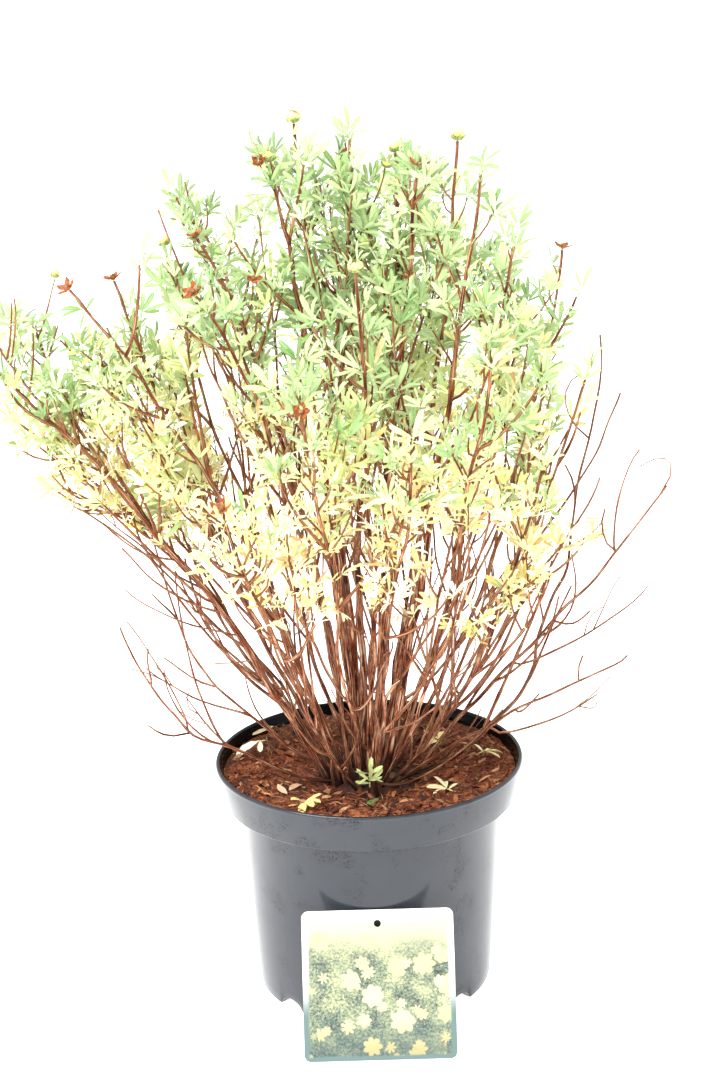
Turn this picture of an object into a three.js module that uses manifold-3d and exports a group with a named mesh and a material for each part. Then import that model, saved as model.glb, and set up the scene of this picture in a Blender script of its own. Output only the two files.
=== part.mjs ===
// A shrubby cinquefoil in a round nursery pot, with a picture card that leans on the pot.
// Millimetres, +Z up, -Y is the front. The origin is where the pot's axis meets the surface it stands on.
import * as THREE from "three";
import { mergeVertices } from "three/addons/utils/BufferGeometryUtils.js";
import Module from "manifold-3d";

// The gap that neighbours keep, and the one that crossing twigs and leaves keep
const GAP = 0.3;
const CLEARANCE = 0.4;

// Pot
const POT_HEIGHT = 145;
const RIM_RADIUS = 95;
const LIP = 2.8;
const BAND_HEIGHT = 23;
const BAND_RADIUS = 90.5;
const NECK_RADIUS = 81;
const FOOT_RADIUS = 73.5;
const WALL = 1.8;
const BASE_THICKNESS = 2.2;
const LEDGE = 2;
const POT_SIDES = 36;

// Drainage channels under the base, open through the foot
const CHANNELS = 8;
const CHANNEL_HALF_WIDTH = 9;
const CHANNEL_HEIGHT = 6.5;
const CHANNEL_START = 46;

// Soil
const SOIL_EDGE = 137;
const SOIL_DISH = 128;
const CROWN_RADIUS = 28;
const CROWN_BOTTOM = 88;
const CROWN_TOP = 136;
const CROWN_SIDES = 20;

// Card
const CARD_WIDTH = 89;
const CARD_HEIGHT = 86;
const CARD_THICKNESS = 0.8;
const CARD_CORNER = 4;
const CARD_LEAN = THREE.MathUtils.degToRad(22.6);
const CARD_X = 2;
const CARD_HOLE_RADIUS = 2.1;
const CARD_HOLE_DROP = 8;

// Stems: they leave the crown at a share of their tip's distance from the axis, and the upper part of each,
// past the share that is bare wood, carries the leaves. The bows are tried in turn until a stem is clear.
const STEM_FOOT = 0.12;
const STEM_START = 130;
const STEM_TIP_RADIUS = 0.8;
const WOOD_SHARE = 0.5;
const STEM_BOWS = [6, -6, 16, -16, 26, -26, 36, -36];

// Side shoots, each with a leaf at its end, and the leaves that the stem itself carries
const SHOOTS = 3;
const FIRST_SHOOT = 0.57;
const LAST_SHOOT = 0.84;
const STEM_LEAVES = [0.7, 0.94];
const HEADLESS_STEM_LEAVES = [0.7];
const SHOOT_LENGTH = 72;
const SHOOT_RADIUS = 1.0;
const SHOOT_TIP_RADIUS = 0.6;
const SHOOT_LEAN = THREE.MathUtils.degToRad(46);
const SHOOT_TRIES = 9;
const SHOOT_STEP = THREE.MathUtils.degToRad(40);
const GOLDEN_ANGLE = THREE.MathUtils.degToRad(137.5);

// Twigs without leaves on the bare stems
const BARE_TWIGS = [0.55, 0.78];
const BARE_TWIG_LENGTH = 48;
const BARE_TWIG_RADIUS = 0.7;

// A leaf: five leaflets that spread like a hand from the end of a petiole
const PETIOLE = 6;
const LEAFLETS = [
  { angle: -92, length: 10, pointed: true },
  { angle: -45, length: 13 },
  { angle: 0, length: 14.5 },
  { angle: 45, length: 13 },
  { angle: 92, length: 10, pointed: true },
];
const LEAFLET_HALF_WIDTH = 2.2;
const LEAF_THICKNESS = 1.4;
const PETIOLE_HALF_WIDTH = 0.5;
const LEAF_SINUS = 1.9;
const LEAF_BACK = 136;
const LEAF_RISE = 0.25;
const LEAF_DROOP = 0.018;
const LEAF_TRIES = 12;
const LEAF_STEP = THREE.MathUtils.degToRad(32);
// How far a leaf leans away from its twig: at a shoot's end, at a stem's end and along a stem
const SHOOT_LEAF_SLANT = 0.5;
const TIP_LEAF_SLANT = 0.35;
const STEM_LEAF_SLANT = 0.9;
const TIP_LEAF_SIZE = 1.05;
const BASAL_LEAF_SIZE = 0.85;

// Flower and dried seed head
const PETALS = 5;
const FLOWER_RADIUS = 5;
const FLOWER_HEIGHT = 7;
const PETAL_HALF_ANGLE = 0.42;
const PETAL_SHOULDER = 1.6;
const PETAL_NOTCH = 3.4;
const SEPAL_LENGTH = 6.4;
const SEPAL_RISE = 1.8;
const BUTTON_RADIUS = 1.9;
const BUTTON_HEIGHT = 2.9;
const HEAD_CLEARANCE = 7;
const FLOWER_BASE = 0.4;
const SEED_HEAD_BASE = 0.8;

// Stems with leaves: place of the tip, radius at the crown, how far they sweep out before they rise (below
// zero they rise before they lean out), and what the tip carries. They stand round the pot as on the shrub,
// the lowest ones outermost.
const LEAFY_STEMS = [
  { tip: [-208, -40, 402], radius: 2.4, sweep: -0.09, head: "leaf" },
  { tip: [-204, 30, 352], radius: 2.1, sweep: -0.12, head: "leaf" },
  { tip: [-150, -90, 448], radius: 2.2, sweep: -0.15, head: "seed" },
  { tip: [-140, 10, 440], radius: 2.2, sweep: 0.08, head: "seed" },
  { tip: [-113, 45, 455], radius: 2.2, sweep: 0.08, head: "flower" },
  { tip: [-109, 90, 480], radius: 2.2, sweep: -0.25, head: "leaf" },
  { tip: [-84, -100, 445], radius: 2.2, sweep: -0.2, head: "seed" },
  { tip: [-88, -20, 466], radius: 2.2, sweep: -0.2, head: "seed" },
  { tip: [-46, 0, 505], radius: 2.5, sweep: -0.15, head: "flower" },
  { tip: [-33, 30, 525], radius: 2.5, sweep: 0, head: "flower" },
  { tip: [-1, 95, 512], radius: 2.5, sweep: 0.05, head: "leaf" },
  { tip: [36, -30, 502], radius: 2.5, sweep: -0.15, head: "seed" },
  { tip: [26, 60, 505], radius: 2.4, sweep: 0.05, head: "flower" },
  { tip: [39, 110, 470], radius: 2.2, sweep: 0.08, head: "leaf" },
  { tip: [62, 40, 512], radius: 2.5, sweep: 0.06, head: "flower" },
  { tip: [68, -60, 500], radius: 2.5, sweep: 0.1, head: "leaf" },
  { tip: [66, 140, 450], radius: 2.0, sweep: 0.08, head: "flower" },
  { tip: [92, 0, 460], radius: 2.2, sweep: 0.12, head: "leaf" },
  { tip: [126, 60, 445], radius: 2.2, sweep: 0.16, head: "seed" },
  { tip: [130, -20, 380], radius: 2.0, sweep: 0.16, head: "leaf" },
  { tip: [66, -150, 420], radius: 2.1, sweep: 0.1, head: "leaf" },
  { tip: [-30, 160, 420], radius: 2.1, sweep: 0.08, head: "seed" },
  { tip: [100, 130, 400], radius: 2.0, sweep: 0.12, head: "leaf" },
  { tip: [-80, 150, 395], radius: 2.0, sweep: 0.08, head: "leaf" },
  { tip: [-140, 100, 380], radius: 2.0, sweep: 0.08, head: "leaf" },
  { tip: [-30, -150, 400], radius: 2.1, sweep: 0.1, head: "leaf" },
  { tip: [25, -170, 375], radius: 2.0, sweep: 0.1, head: "leaf" },
  { tip: [-70, -165, 345], radius: 2.0, sweep: 0.08, head: "seed" },
  { tip: [0, -110, 455], radius: 2.2, sweep: 0.12, head: "flower" },
  { tip: [95, -115, 350], radius: 2.0, sweep: 0.14, head: "leaf" },
  { tip: [20, 185, 355], radius: 2.0, sweep: 0.08, head: "leaf" },
];

// Thin stems that have lost their leaves
const BARE_STEMS = [
  { tip: [-165, -20, 312], radius: 1.5, sweep: -0.1 },
  { tip: [-130, 30, 282], radius: 1.4, sweep: 0.35 },
  { tip: [-143, -40, 245], radius: 1.4, sweep: 0.3 },
  { tip: [141, 0, 402], radius: 1.8, sweep: 0.42 },
  { tip: [176, -30, 318], radius: 1.8, sweep: 0.04 },
  { tip: [150, -60, 226], radius: 1.6, sweep: 0 },
];

// Stems whose tip is lower than this have yellowing leaves
const YELLOWING_HEIGHT = 400;

// Leaves that lie on the soil: place, and the way that the petiole points
const FALLEN_LEAVES = [
  { at: [-64, 22], turn: 200 },
  { at: [46, 20], turn: 100 },
  { at: [67, -5], turn: 40 },
  { at: [50, -38], turn: 130 },
  { at: [-42, -52], turn: 300 },
];
// The leaf that stands up between the stems at the front: its stalk's foot, bend and end
const BASAL_STALK = [[-0.7, -25.5, 130.4], [-0.7, -34, 137], [0, -43, 143]];

const wasm = await Module();
wasm.setup();

const GREEN = new THREE.MeshStandardMaterial({ color: 0xa9c77a, roughness: 0.6, metalness: 0 });
const YELLOW_LEAF = new THREE.MeshStandardMaterial({ color: 0xe9e39a, roughness: 0.65, metalness: 0 });
const BARK = new THREE.MeshStandardMaterial({ color: 0x85482f, roughness: 0.85, metalness: 0 });
const SOIL = new THREE.MeshStandardMaterial({ color: 0x5a2d1b, roughness: 0.95, metalness: 0 });
const POT_PLASTIC = new THREE.MeshStandardMaterial({ color: 0x2c2f34, roughness: 0.3, metalness: 0 });
const CARD_PLASTIC = new THREE.MeshStandardMaterial({ color: 0xeef0d2, roughness: 0.35, metalness: 0 });
const PETAL = new THREE.MeshStandardMaterial({ color: 0xf3e690, roughness: 0.6, metalness: 0 });
const SEED_HEAD = new THREE.MeshStandardMaterial({ color: 0xa65a2e, roughness: 0.85, metalness: 0 });

const part = new THREE.Group();

// A number from 0 to 1, always the same one for the same three whole numbers
function draw(first, second, third) {
  const wave = Math.sin(first * 12.9898 + second * 78.233 + third * 37.719) * 43758.5453;
  return wave - Math.floor(wave);
}

// Makes a closed geometry into a solid that can be joined and cut
function solidOf(geometry) {
  const bare = geometry.clone();
  bare.deleteAttribute("normal");
  bare.deleteAttribute("uv");
  const merged = mergeVertices(bare, 1e-4);
  const vertProperties = new Float32Array(merged.attributes.position.array);
  const triVerts = new Uint32Array(merged.index.array);
  return new wasm.Manifold(new wasm.Mesh({ numProp: 3, vertProperties, triVerts }));
}

// Adds a solid to the part as a named mesh
function addPart(name, solid, material) {
  const { vertProperties, triVerts } = solid.getMesh();
  const geometry = new THREE.BufferGeometry();
  geometry.setAttribute("position", new THREE.BufferAttribute(vertProperties, 3));
  geometry.setIndex(new THREE.BufferAttribute(triVerts, 1));
  geometry.computeVertexNormals();
  const mesh = new THREE.Mesh(geometry, material);
  mesh.name = name;
  part.add(mesh);
}

// A body turned about the pot's axis, from [radius, height] pairs that start and end on the axis
function turned(profile, sides) {
  const points = profile.map(([radius, height]) => new THREE.Vector2(radius, height));
  return new THREE.LatheGeometry(points, sides).rotateX(Math.PI / 2);
}

// Pot

const BAND_BOTTOM = POT_HEIGHT - BAND_HEIGHT;

function wallRadius(height) {
  return FOOT_RADIUS + ((NECK_RADIUS - FOOT_RADIUS) * height) / (BAND_BOTTOM - LEDGE);
}

// One channel, grown all round by a skin, as a half-round tunnel that runs out along +X
function channelShape(skin) {
  const length = RIM_RADIUS - CHANNEL_START + skin;
  const tunnel = new THREE.CylinderGeometry(1, 1, length, 6).rotateZ(Math.PI / 2);
  tunnel.scale(1, CHANNEL_HALF_WIDTH + skin, CHANNEL_HEIGHT + skin);
  return tunnel.translate(CHANNEL_START - skin + length / 2, 0, 0);
}

function aroundThePot(makeGeometry) {
  let ring;
  for (let index = 0; index < CHANNELS; index += 1) {
    const one = solidOf(makeGeometry().rotateZ((index * 2 * Math.PI) / CHANNELS - Math.PI / 2));
    ring = ring ? ring.add(one) : one;
  }
  return ring;
}

function makePot() {
  const outside = solidOf(turned([
    [0, 0], [FOOT_RADIUS, 0], [NECK_RADIUS, BAND_BOTTOM - LEDGE], [BAND_RADIUS - 1.4, BAND_BOTTOM - 1],
    [BAND_RADIUS, BAND_BOTTOM], [RIM_RADIUS - 0.5, POT_HEIGHT - 2.5], [RIM_RADIUS, POT_HEIGHT - 1.4],
    [RIM_RADIUS - 0.7, POT_HEIGHT], [0, POT_HEIGHT],
  ], POT_SIDES));
  const inside = solidOf(turned([
    [0, BASE_THICKNESS], [FOOT_RADIUS - WALL, BASE_THICKNESS], [NECK_RADIUS - WALL, BAND_BOTTOM],
    [BAND_RADIUS - LIP, BAND_BOTTOM + LEDGE], [RIM_RADIUS - LIP, POT_HEIGHT - 1],
    [RIM_RADIUS - LIP + 0.5, POT_HEIGHT + 1], [0, POT_HEIGHT + 1],
  ], POT_SIDES));
  const ridges = aroundThePot(() => channelShape(WALL)).intersect(outside);
  return outside.subtract(inside).add(ridges).subtract(aroundThePot(() => channelShape(0)));
}

// Soil

// It rests on the ridges over the channels
const SOIL_BOTTOM = CHANNEL_HEIGHT + WALL + GAP;

// Height of the soil at a place: it dips towards the crown and is lumpy
function soilHeight(x, y) {
  const radius = Math.hypot(x, y);
  const dip = THREE.MathUtils.smoothstep(radius, CROWN_RADIUS, RIM_RADIUS - LIP - 8);
  const lumps = 0.9 * Math.sin(x / 8 + 1.7) * Math.cos(y / 10) + 0.6 * Math.sin((x + y) / 6);
  const held = THREE.MathUtils.smoothstep(radius, CROWN_RADIUS, CROWN_RADIUS + 14);
  const edge = 1 - THREE.MathUtils.smoothstep(radius, RIM_RADIUS - LIP - 12, RIM_RADIUS - LIP - 1);
  return SOIL_DISH + (SOIL_EDGE - SOIL_DISH) * dip + lumps * held * edge;
}

function makeSoil() {
  const shape = turned([
    [0, SOIL_BOTTOM], [wallRadius(SOIL_BOTTOM) - WALL - GAP, SOIL_BOTTOM],
    [NECK_RADIUS - WALL - GAP, BAND_BOTTOM + GAP], [BAND_RADIUS - LIP - GAP, BAND_BOTTOM + LEDGE + GAP],
    [RIM_RADIUS - LIP - 1.8, SOIL_EDGE], [76, SOIL_EDGE], [60, SOIL_EDGE], [44, SOIL_EDGE], [0, SOIL_EDGE],
  ], POT_SIDES);
  const position = shape.attributes.position;
  for (let index = 0; index < position.count; index += 1) {
    if (position.getZ(index) > SOIL_EDGE - 1) {
      position.setZ(index, soilHeight(position.getX(index), position.getY(index)));
    }
  }
  const crownHole = solidOf(turned([
    [0, CROWN_BOTTOM], [CROWN_RADIUS, CROWN_BOTTOM], [CROWN_RADIUS, POT_HEIGHT], [0, POT_HEIGHT],
  ], CROWN_SIDES));
  return solidOf(shape).subtract(crownHole);
}

// Card

function makeCard() {
  const outline = new THREE.Shape();
  const half = CARD_WIDTH / 2;
  outline.absarc(half - CARD_CORNER, CARD_CORNER, CARD_CORNER, -Math.PI / 2, 0);
  outline.absarc(half - CARD_CORNER, CARD_HEIGHT - CARD_CORNER, CARD_CORNER, 0, Math.PI / 2);
  outline.absarc(CARD_CORNER - half, CARD_HEIGHT - CARD_CORNER, CARD_CORNER, Math.PI / 2, Math.PI);
  outline.absarc(CARD_CORNER - half, CARD_CORNER, CARD_CORNER, Math.PI, 1.5 * Math.PI);
  outline.closePath();
  const hole = new THREE.Path();
  hole.absarc(0, CARD_HEIGHT - CARD_HOLE_DROP, CARD_HOLE_RADIUS, 0, 2 * Math.PI, true);
  outline.holes.push(hole);
  const settings = { depth: CARD_THICKNESS, bevelEnabled: false, curveSegments: 4 };
  const plate = new THREE.ExtrudeGeometry(outline, settings);
  // The plate stands up, leans back about its lower back edge, and its upper back edge meets the wall
  plate.rotateX(Math.PI / 2).rotateX(-CARD_LEAN);
  const reach = CARD_HEIGHT * Math.sin(CARD_LEAN);
  const top = CARD_HEIGHT * Math.cos(CARD_LEAN);
  plate.translate(CARD_X, -(wallRadius(top) + GAP + 0.1) - reach, 0);
  plate.computeBoundingBox();
  return solidOf(plate.translate(0, 0, -plate.boundingBox.min.z));
}

// Twigs

// A round rod with a taper, bent along a part of a curve. Each ring of the straight rod moves to its point on
// the curve, square to it.
function rod(curve, from, to, radiusAt, sides, steps) {
  const shape = new THREE.CylinderGeometry(1, 1, 1, sides, steps);
  const position = shape.attributes.position;
  const plane = new THREE.Vector3().subVectors(curve.v1, curve.v0).cross(
    new THREE.Vector3().subVectors(curve.v2, curve.v1));
  if (plane.lengthSq() < 1e-6) plane.set(0, 1, 0);
  plane.normalize();
  for (let index = 0; index < position.count; index += 1) {
    const share = from + (to - from) * (position.getY(index) + 0.5);
    const tangent = curve.getTangent(share);
    const across = new THREE.Vector3().crossVectors(plane, tangent);
    const point = curve.getPoint(share);
    point.addScaledVector(plane, position.getX(index) * radiusAt(share));
    point.addScaledVector(across, position.getZ(index) * radiusAt(share));
    position.setXYZ(index, point.x, point.y, point.z);
  }
  return shape;
}

// Straight pieces with a radius that stand for a twig or a leaflet when others keep clear of it
const taken = [];

function reachesOf(points, radius) {
  const pieces = [];
  for (let index = 1; index < points.length; index += 1) {
    pieces.push({ line: new THREE.Line3(points[index - 1], points[index]), radius });
  }
  return pieces;
}

function isClear(pieces, owner) {
  return pieces.every((piece) => taken.every((other) => {
    if (other.owner === owner) return true;
    const least = piece.radius + other.radius + CLEARANCE;
    return piece.line.distanceSqToLine3(other.line) > least * least;
  }));
}

function take(pieces, owner) {
  for (const piece of pieces) taken.push({ ...piece, owner });
}

// The curve of a stem: from the crown to its tip, swept out first by its sweep, and bowed aside by a shift
function stemCurve({ tip, sweep }, shift) {
  const end = new THREE.Vector3(...tip);
  const start = new THREE.Vector3(tip[0] * STEM_FOOT, tip[1] * STEM_FOOT, STEM_START);
  const across = new THREE.Vector3(-tip[1], tip[0], 0).normalize();
  const middle = new THREE.Vector3(
    THREE.MathUtils.lerp(start.x, end.x, 0.5 + sweep),
    THREE.MathUtils.lerp(start.y, end.y, 0.5 + sweep),
    THREE.MathUtils.lerp(start.z, end.z, 0.5 - sweep),
  ).addScaledVector(across, shift);
  return new THREE.QuadraticBezierCurve3(start, middle, end);
}

// A stem's curve that is bent aside until it is clear of the stems before it
function clearStem(stem, number, leafy) {
  for (const shift of STEM_BOWS) {
    const side = draw(number, 1, 1) < 0.5 ? shift : -shift;
    const curve = stemCurve(stem, side);
    const points = curve.getPoints(8);
    const split = leafy ? 4 : 8;
    const lower = reachesOf(points.slice(0, split + 1), stem.radius);
    const upper = reachesOf(points.slice(split), stem.radius);
    if (isClear(lower, "wood") && isClear(upper, `stem ${number}`)) {
      take(lower, "wood");
      take(upper, leafy ? `stem ${number}` : "wood");
      return curve;
    }
  }
  throw new Error(`stem ${number} finds no clear way`);
}

// The direction that leans from one unit vector towards another, square to it, by an angle
function between(from, towards, angle) {
  return from.clone().multiplyScalar(Math.cos(angle)).addScaledVector(towards, Math.sin(angle));
}

// A side shoot: it leaves its stem at a slant and turns upwards
function shootCurve(stem, share, turn, length) {
  const start = stem.getPoint(share);
  const tangent = stem.getTangent(share);
  const side = new THREE.Vector3(0, 1, 0).cross(tangent).normalize();
  side.applyAxisAngle(tangent, turn);
  const way = between(tangent, side, SHOOT_LEAN);
  const middle = start.clone().addScaledVector(way, length / 2);
  const end = middle.clone().addScaledVector(way, length / 4);
  end.z += length / 4;
  return new THREE.QuadraticBezierCurve3(start, middle, end);
}

// A side shoot that is turned on about its stem until it is clear, and what else it carries is clear too
function clearShoot(stem, share, turn, length, owner, placeMore) {
  for (let attempt = 0; attempt < SHOOT_TRIES; attempt += 1) {
    const curve = shootCurve(stem, share, turn + attempt * SHOOT_STEP, length);
    const pieces = reachesOf(curve.getPoints(4), SHOOT_RADIUS);
    const more = isClear(pieces, owner) && placeMore(curve);
    if (more) {
      take(pieces, owner);
      return { curve, more };
    }
  }
  return null;
}

// Leaves

// A leaf, placed by a matrix that has it lie along +X with its petiole's root at the origin. Each face is a
// fan from the hub, and the two faces meet in one rim, so that the leaf is thickest at its hub and thins out
// to the rims of its leaflets. The petiole goes on through rings of four points, down to where it is rooted.
function leafShape(matrix, size, rings) {
  const places = [];
  const place = (point) => places.push(point) - 1;
  const atHub = (angle, radius, aside) => {
    const turn = THREE.MathUtils.degToRad(angle);
    const x = radius * Math.cos(turn) - aside * Math.sin(turn);
    const y = radius * Math.sin(turn) + aside * Math.cos(turn);
    const reach = Math.hypot(x, y);
    const arch = LEAF_RISE * reach - LEAF_DROOP * reach * reach;
    return place(new THREE.Vector3(size * (PETIOLE + x), size * y, size * arch).applyMatrix4(matrix));
  };
  const top = place(new THREE.Vector3(size * PETIOLE, 0, LEAF_THICKNESS / 2).applyMatrix4(matrix));
  const bottom = place(new THREE.Vector3(size * PETIOLE, 0, -LEAF_THICKNESS / 2).applyMatrix4(matrix));
  const rim = [atHub(-LEAF_BACK, LEAF_SINUS, 0)];
  LEAFLETS.forEach(({ angle, length, pointed }, index) => {
    if (!pointed) rim.push(atHub(angle, length * 0.5, -LEAFLET_HALF_WIDTH));
    rim.push(atHub(angle, length, 0));
    if (!pointed) rim.push(atHub(angle, length * 0.5, LEAFLET_HALF_WIDTH));
    const next = index + 1 < LEAFLETS.length ? (angle + LEAFLETS[index + 1].angle) / 2 : LEAF_BACK;
    rim.push(atHub(next, LEAF_SINUS, 0));
  });
  const faces = [];
  for (let index = 1; index < rim.length; index += 1) {
    faces.push([top, rim[index - 1], rim[index]], [bottom, rim[index], rim[index - 1]]);
  }
  // Rings run from the leaf to the root, each with its upper, left, lower and right point
  let [up, left, down, right] = rings[0].map(place);
  faces.push([top, rim.at(-1), left], [top, left, up], [top, up, right], [top, right, rim[0]]);
  faces.push([bottom, left, rim.at(-1)], [bottom, down, left]);
  faces.push([bottom, right, down], [bottom, rim[0], right]);
  for (const ring of rings.slice(1)) {
    const near = [up, left, down, right];
    const far = ring.map(place);
    far.forEach((corner, index) => {
      const next = (index + 1) % far.length;
      faces.push([near[index], near[next], corner], [near[next], far[next], corner]);
    });
    [up, left, down, right] = far;
  }
  faces.push([up, left, down], [up, down, right]);
  return shapeFrom(places, faces);
}

// Four points round a centre: upper, left, lower and right
function ringAt(centre, across, up, radius) {
  return [[0, 1], [1, 0], [0, -1], [-1, 0]].map(([side, rise]) =>
    centre.clone().addScaledVector(across, side * radius).addScaledVector(up, rise * radius));
}

// The petiole's own root ring
function rootRing(matrix) {
  const [across, up] = [new THREE.Vector3(), new THREE.Vector3()];
  matrix.extractBasis(new THREE.Vector3(), across, up);
  return ringAt(new THREE.Vector3().setFromMatrixPosition(matrix), across, up, PETIOLE_HALF_WIDTH);
}

// Rings along a part of a curve, turned as the leaf at its end is
function curveRings(curve, matrix, shares, radiusAt) {
  const face = new THREE.Vector3().setFromMatrixColumn(matrix, 2);
  return shares.map((share) => {
    const tangent = curve.getTangent(share);
    const up = face.clone().addScaledVector(tangent, -face.dot(tangent)).normalize();
    return ringAt(curve.getPoint(share), new THREE.Vector3().crossVectors(up, tangent), up, radiusAt(share));
  });
}

// A geometry from points and from triangles that name them
function shapeFrom(places, faces) {
  const geometry = new THREE.BufferGeometry().setFromPoints(places);
  geometry.setIndex(faces.flat());
  return geometry;
}

// The matrix that puts a leaf's root at a point, with its petiole along a way and its upper face to a side
function leafMatrix(root, way, face) {
  const along = way.clone().normalize();
  const up = face.clone().addScaledVector(along, -face.dot(along)).normalize();
  const across = new THREE.Vector3().crossVectors(up, along);
  return new THREE.Matrix4().makeBasis(along, across, up).setPosition(root);
}

function leafReaches(matrix, size) {
  const hub = new THREE.Vector3(size * PETIOLE, 0, 0).applyMatrix4(matrix);
  const root = new THREE.Vector3().applyMatrix4(matrix);
  const pieces = reachesOf([root, hub], PETIOLE_HALF_WIDTH + 0.3);
  for (const { angle, length } of LEAFLETS) {
    const turn = THREE.MathUtils.degToRad(angle);
    const tip = around(turn, length, 0).add(new THREE.Vector3(PETIOLE, 0, 0)).multiplyScalar(size);
    pieces.push(...reachesOf([hub, tip.applyMatrix4(matrix)], size * LEAFLET_HALF_WIDTH));
  }
  return pieces;
}

// Where a leaf on a twig goes: turned about the twig until it is clear of what other stems carry
function leafPlace(curve, share, turn, slant, size, owner) {
  const tangent = curve.getTangent(share);
  const root = curve.getPoint(share);
  for (let attempt = 0; attempt < LEAF_TRIES; attempt += 1) {
    const side = new THREE.Vector3(0.3, 1, 0.1).cross(tangent).normalize();
    side.applyAxisAngle(tangent, turn + attempt * LEAF_STEP);
    const face = between(tangent, side, slant - Math.PI / 2).addScaledVector(tangent, 0.3);
    const matrix = leafMatrix(root, between(tangent, side, slant), face);
    const pieces = leafReaches(matrix, size);
    if (isClear(pieces, owner)) {
      take(pieces, owner);
      return matrix;
    }
  }
  return null;
}

// Heads

// Two fans that meet in one rim, from a lower and an upper middle
function starShape(rim, low, high) {
  const places = rim.concat(new THREE.Vector3(0, 0, low), new THREE.Vector3(0, 0, high));
  const faces = [];
  for (let index = 0; index < rim.length; index += 1) {
    const next = (index + 1) % rim.length;
    faces.push([rim.length + 1, index, next], [rim.length, next, index]);
  }
  return shapeFrom(places, faces);
}

function around(angle, radius, height) {
  return new THREE.Vector3(radius * Math.cos(angle), radius * Math.sin(angle), height);
}

// A half-open flower: a cup of five petals
function flowerShape() {
  const rim = [];
  for (let index = 0; index < PETALS; index += 1) {
    const angle = ((index + 0.5) * 2 * Math.PI) / PETALS;
    const shoulder = FLOWER_HEIGHT - PETAL_SHOULDER;
    rim.push(around(angle - PETAL_HALF_ANGLE, FLOWER_RADIUS, shoulder));
    rim.push(around(angle, FLOWER_RADIUS, FLOWER_HEIGHT));
    rim.push(around(angle + PETAL_HALF_ANGLE, FLOWER_RADIUS, shoulder));
    rim.push(around(angle + Math.PI / PETALS, PETAL_NOTCH, PETAL_NOTCH));
  }
  return solidOf(starShape(rim, -FLOWER_BASE, FLOWER_HEIGHT / 4));
}

// A dried seed head: a star of brown sepals round a button of seeds
function seedHeadShape() {
  const places = [new THREE.Vector3(0, 0, -SEED_HEAD_BASE), new THREE.Vector3(0, 0, BUTTON_HEIGHT)];
  const faces = [];
  for (let index = 0; index < PETALS; index += 1) {
    const angle = (index * 2 * Math.PI) / PETALS;
    const half = Math.PI / PETALS;
    places.push(around(angle, SEPAL_LENGTH, SEPAL_RISE), around(angle + half, BUTTON_RADIUS + 0.4, 0.3));
    places.push(around(angle + half, BUTTON_RADIUS, BUTTON_HEIGHT - 0.9));
    const [tip, notch, knob] = [0, 1, 2].map((step) => 2 + index * 3 + step);
    const [nextTip, lastNotch, lastKnob] = [
      2 + ((index + 1) % PETALS) * 3, 3 + ((index + 4) % PETALS) * 3, 4 + ((index + 4) % PETALS) * 3];
    faces.push([0, notch, tip], [0, nextTip, notch], [1, lastKnob, knob]);
    faces.push([tip, notch, knob], [lastKnob, tip, knob], [lastNotch, tip, lastKnob]);
  }
  return solidOf(shapeFrom(places, faces));
}

// Puts a head on the end of a stem, a gap beyond it, and gives its solid
function headOn(curve, make, sunk) {
  const tangent = curve.getTangent(1);
  const place = curve.getPoint(1).addScaledVector(tangent, GAP + sunk);
  const turn = new THREE.Quaternion().setFromUnitVectors(new THREE.Vector3(0, 0, 1), tangent);
  const matrix = new THREE.Matrix4().compose(place, turn, new THREE.Vector3(1, 1, 1));
  return make().transform(matrix.elements);
}

const twoDigits = (number) => String(number).padStart(2, "0");

// The crown of wood in the soil, with the stems' lower halves and the bare stems
function makeShrub() {
  const leafy = LEAFY_STEMS.map((stem, index) => ({
    ...stem, number: index + 1, curve: clearStem(stem, index + 1, true),
  }));
  const bare = BARE_STEMS.map((stem, index) => ({
    ...stem, number: 50 + index, curve: clearStem(stem, 50 + index, false),
  }));
  const radiusOf = (stem) => (share) => THREE.MathUtils.lerp(stem.radius, STEM_TIP_RADIUS, share);

  for (const { head, curve } of leafy) {
    if (head === "leaf") continue;
    const end = curve.getPoint(1);
    const beyond = end.clone().addScaledVector(curve.getTangent(1), FLOWER_HEIGHT / 2);
    take(reachesOf([end, beyond], HEAD_CLEARANCE), "head");
  }

  let wood = solidOf(turned([
    [0, CROWN_BOTTOM + GAP], [CROWN_RADIUS - GAP, CROWN_BOTTOM + GAP], [CROWN_RADIUS - GAP, SOIL_DISH],
    [CROWN_RADIUS * 0.6, CROWN_TOP - 1], [0, CROWN_TOP],
  ], CROWN_SIDES));
  for (const stem of leafy) wood = wood.add(solidOf(rod(stem.curve, 0, WOOD_SHARE, radiusOf(stem), 5, 2)));
  for (const stem of bare) {
    wood = wood.add(solidOf(rod(stem.curve, 0, 1, radiusOf(stem), 4, 6)));
    BARE_TWIGS.forEach((share, place) => {
      const length = BARE_TWIG_LENGTH * (1.4 - share) * (0.8 + 0.4 * draw(stem.number, 2, place));
      const turn = 2 * Math.PI * draw(stem.number, 3, place);
      const twig = clearShoot(stem.curve, share, turn, length, "wood", () => true);
      if (twig) wood = wood.add(solidOf(rod(twig.curve, 0, 1, () => BARE_TWIG_RADIUS, 3, 2)));
    });
  }
  addPart("woody_framework", wood, BARK);

  let flowers = 0;
  let seedHeads = 0;
  for (const stem of leafy) {
    const colour = stem.tip[2] > YELLOWING_HEIGHT ? GREEN : YELLOW_LEAF;
    addPart(`leafy_stem_${twoDigits(stem.number)}`, leafyStem(stem, radiusOf(stem)), colour);
    if (stem.head === "flower") {
      flowers += 1;
      addPart(`flower_${flowers}`, headOn(stem.curve, flowerShape, FLOWER_BASE), PETAL);
    }
    if (stem.head === "seed") {
      seedHeads += 1;
      addPart(`seed_head_${seedHeads}`, headOn(stem.curve, seedHeadShape, SEED_HEAD_BASE), SEED_HEAD);
    }
  }
}

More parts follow.
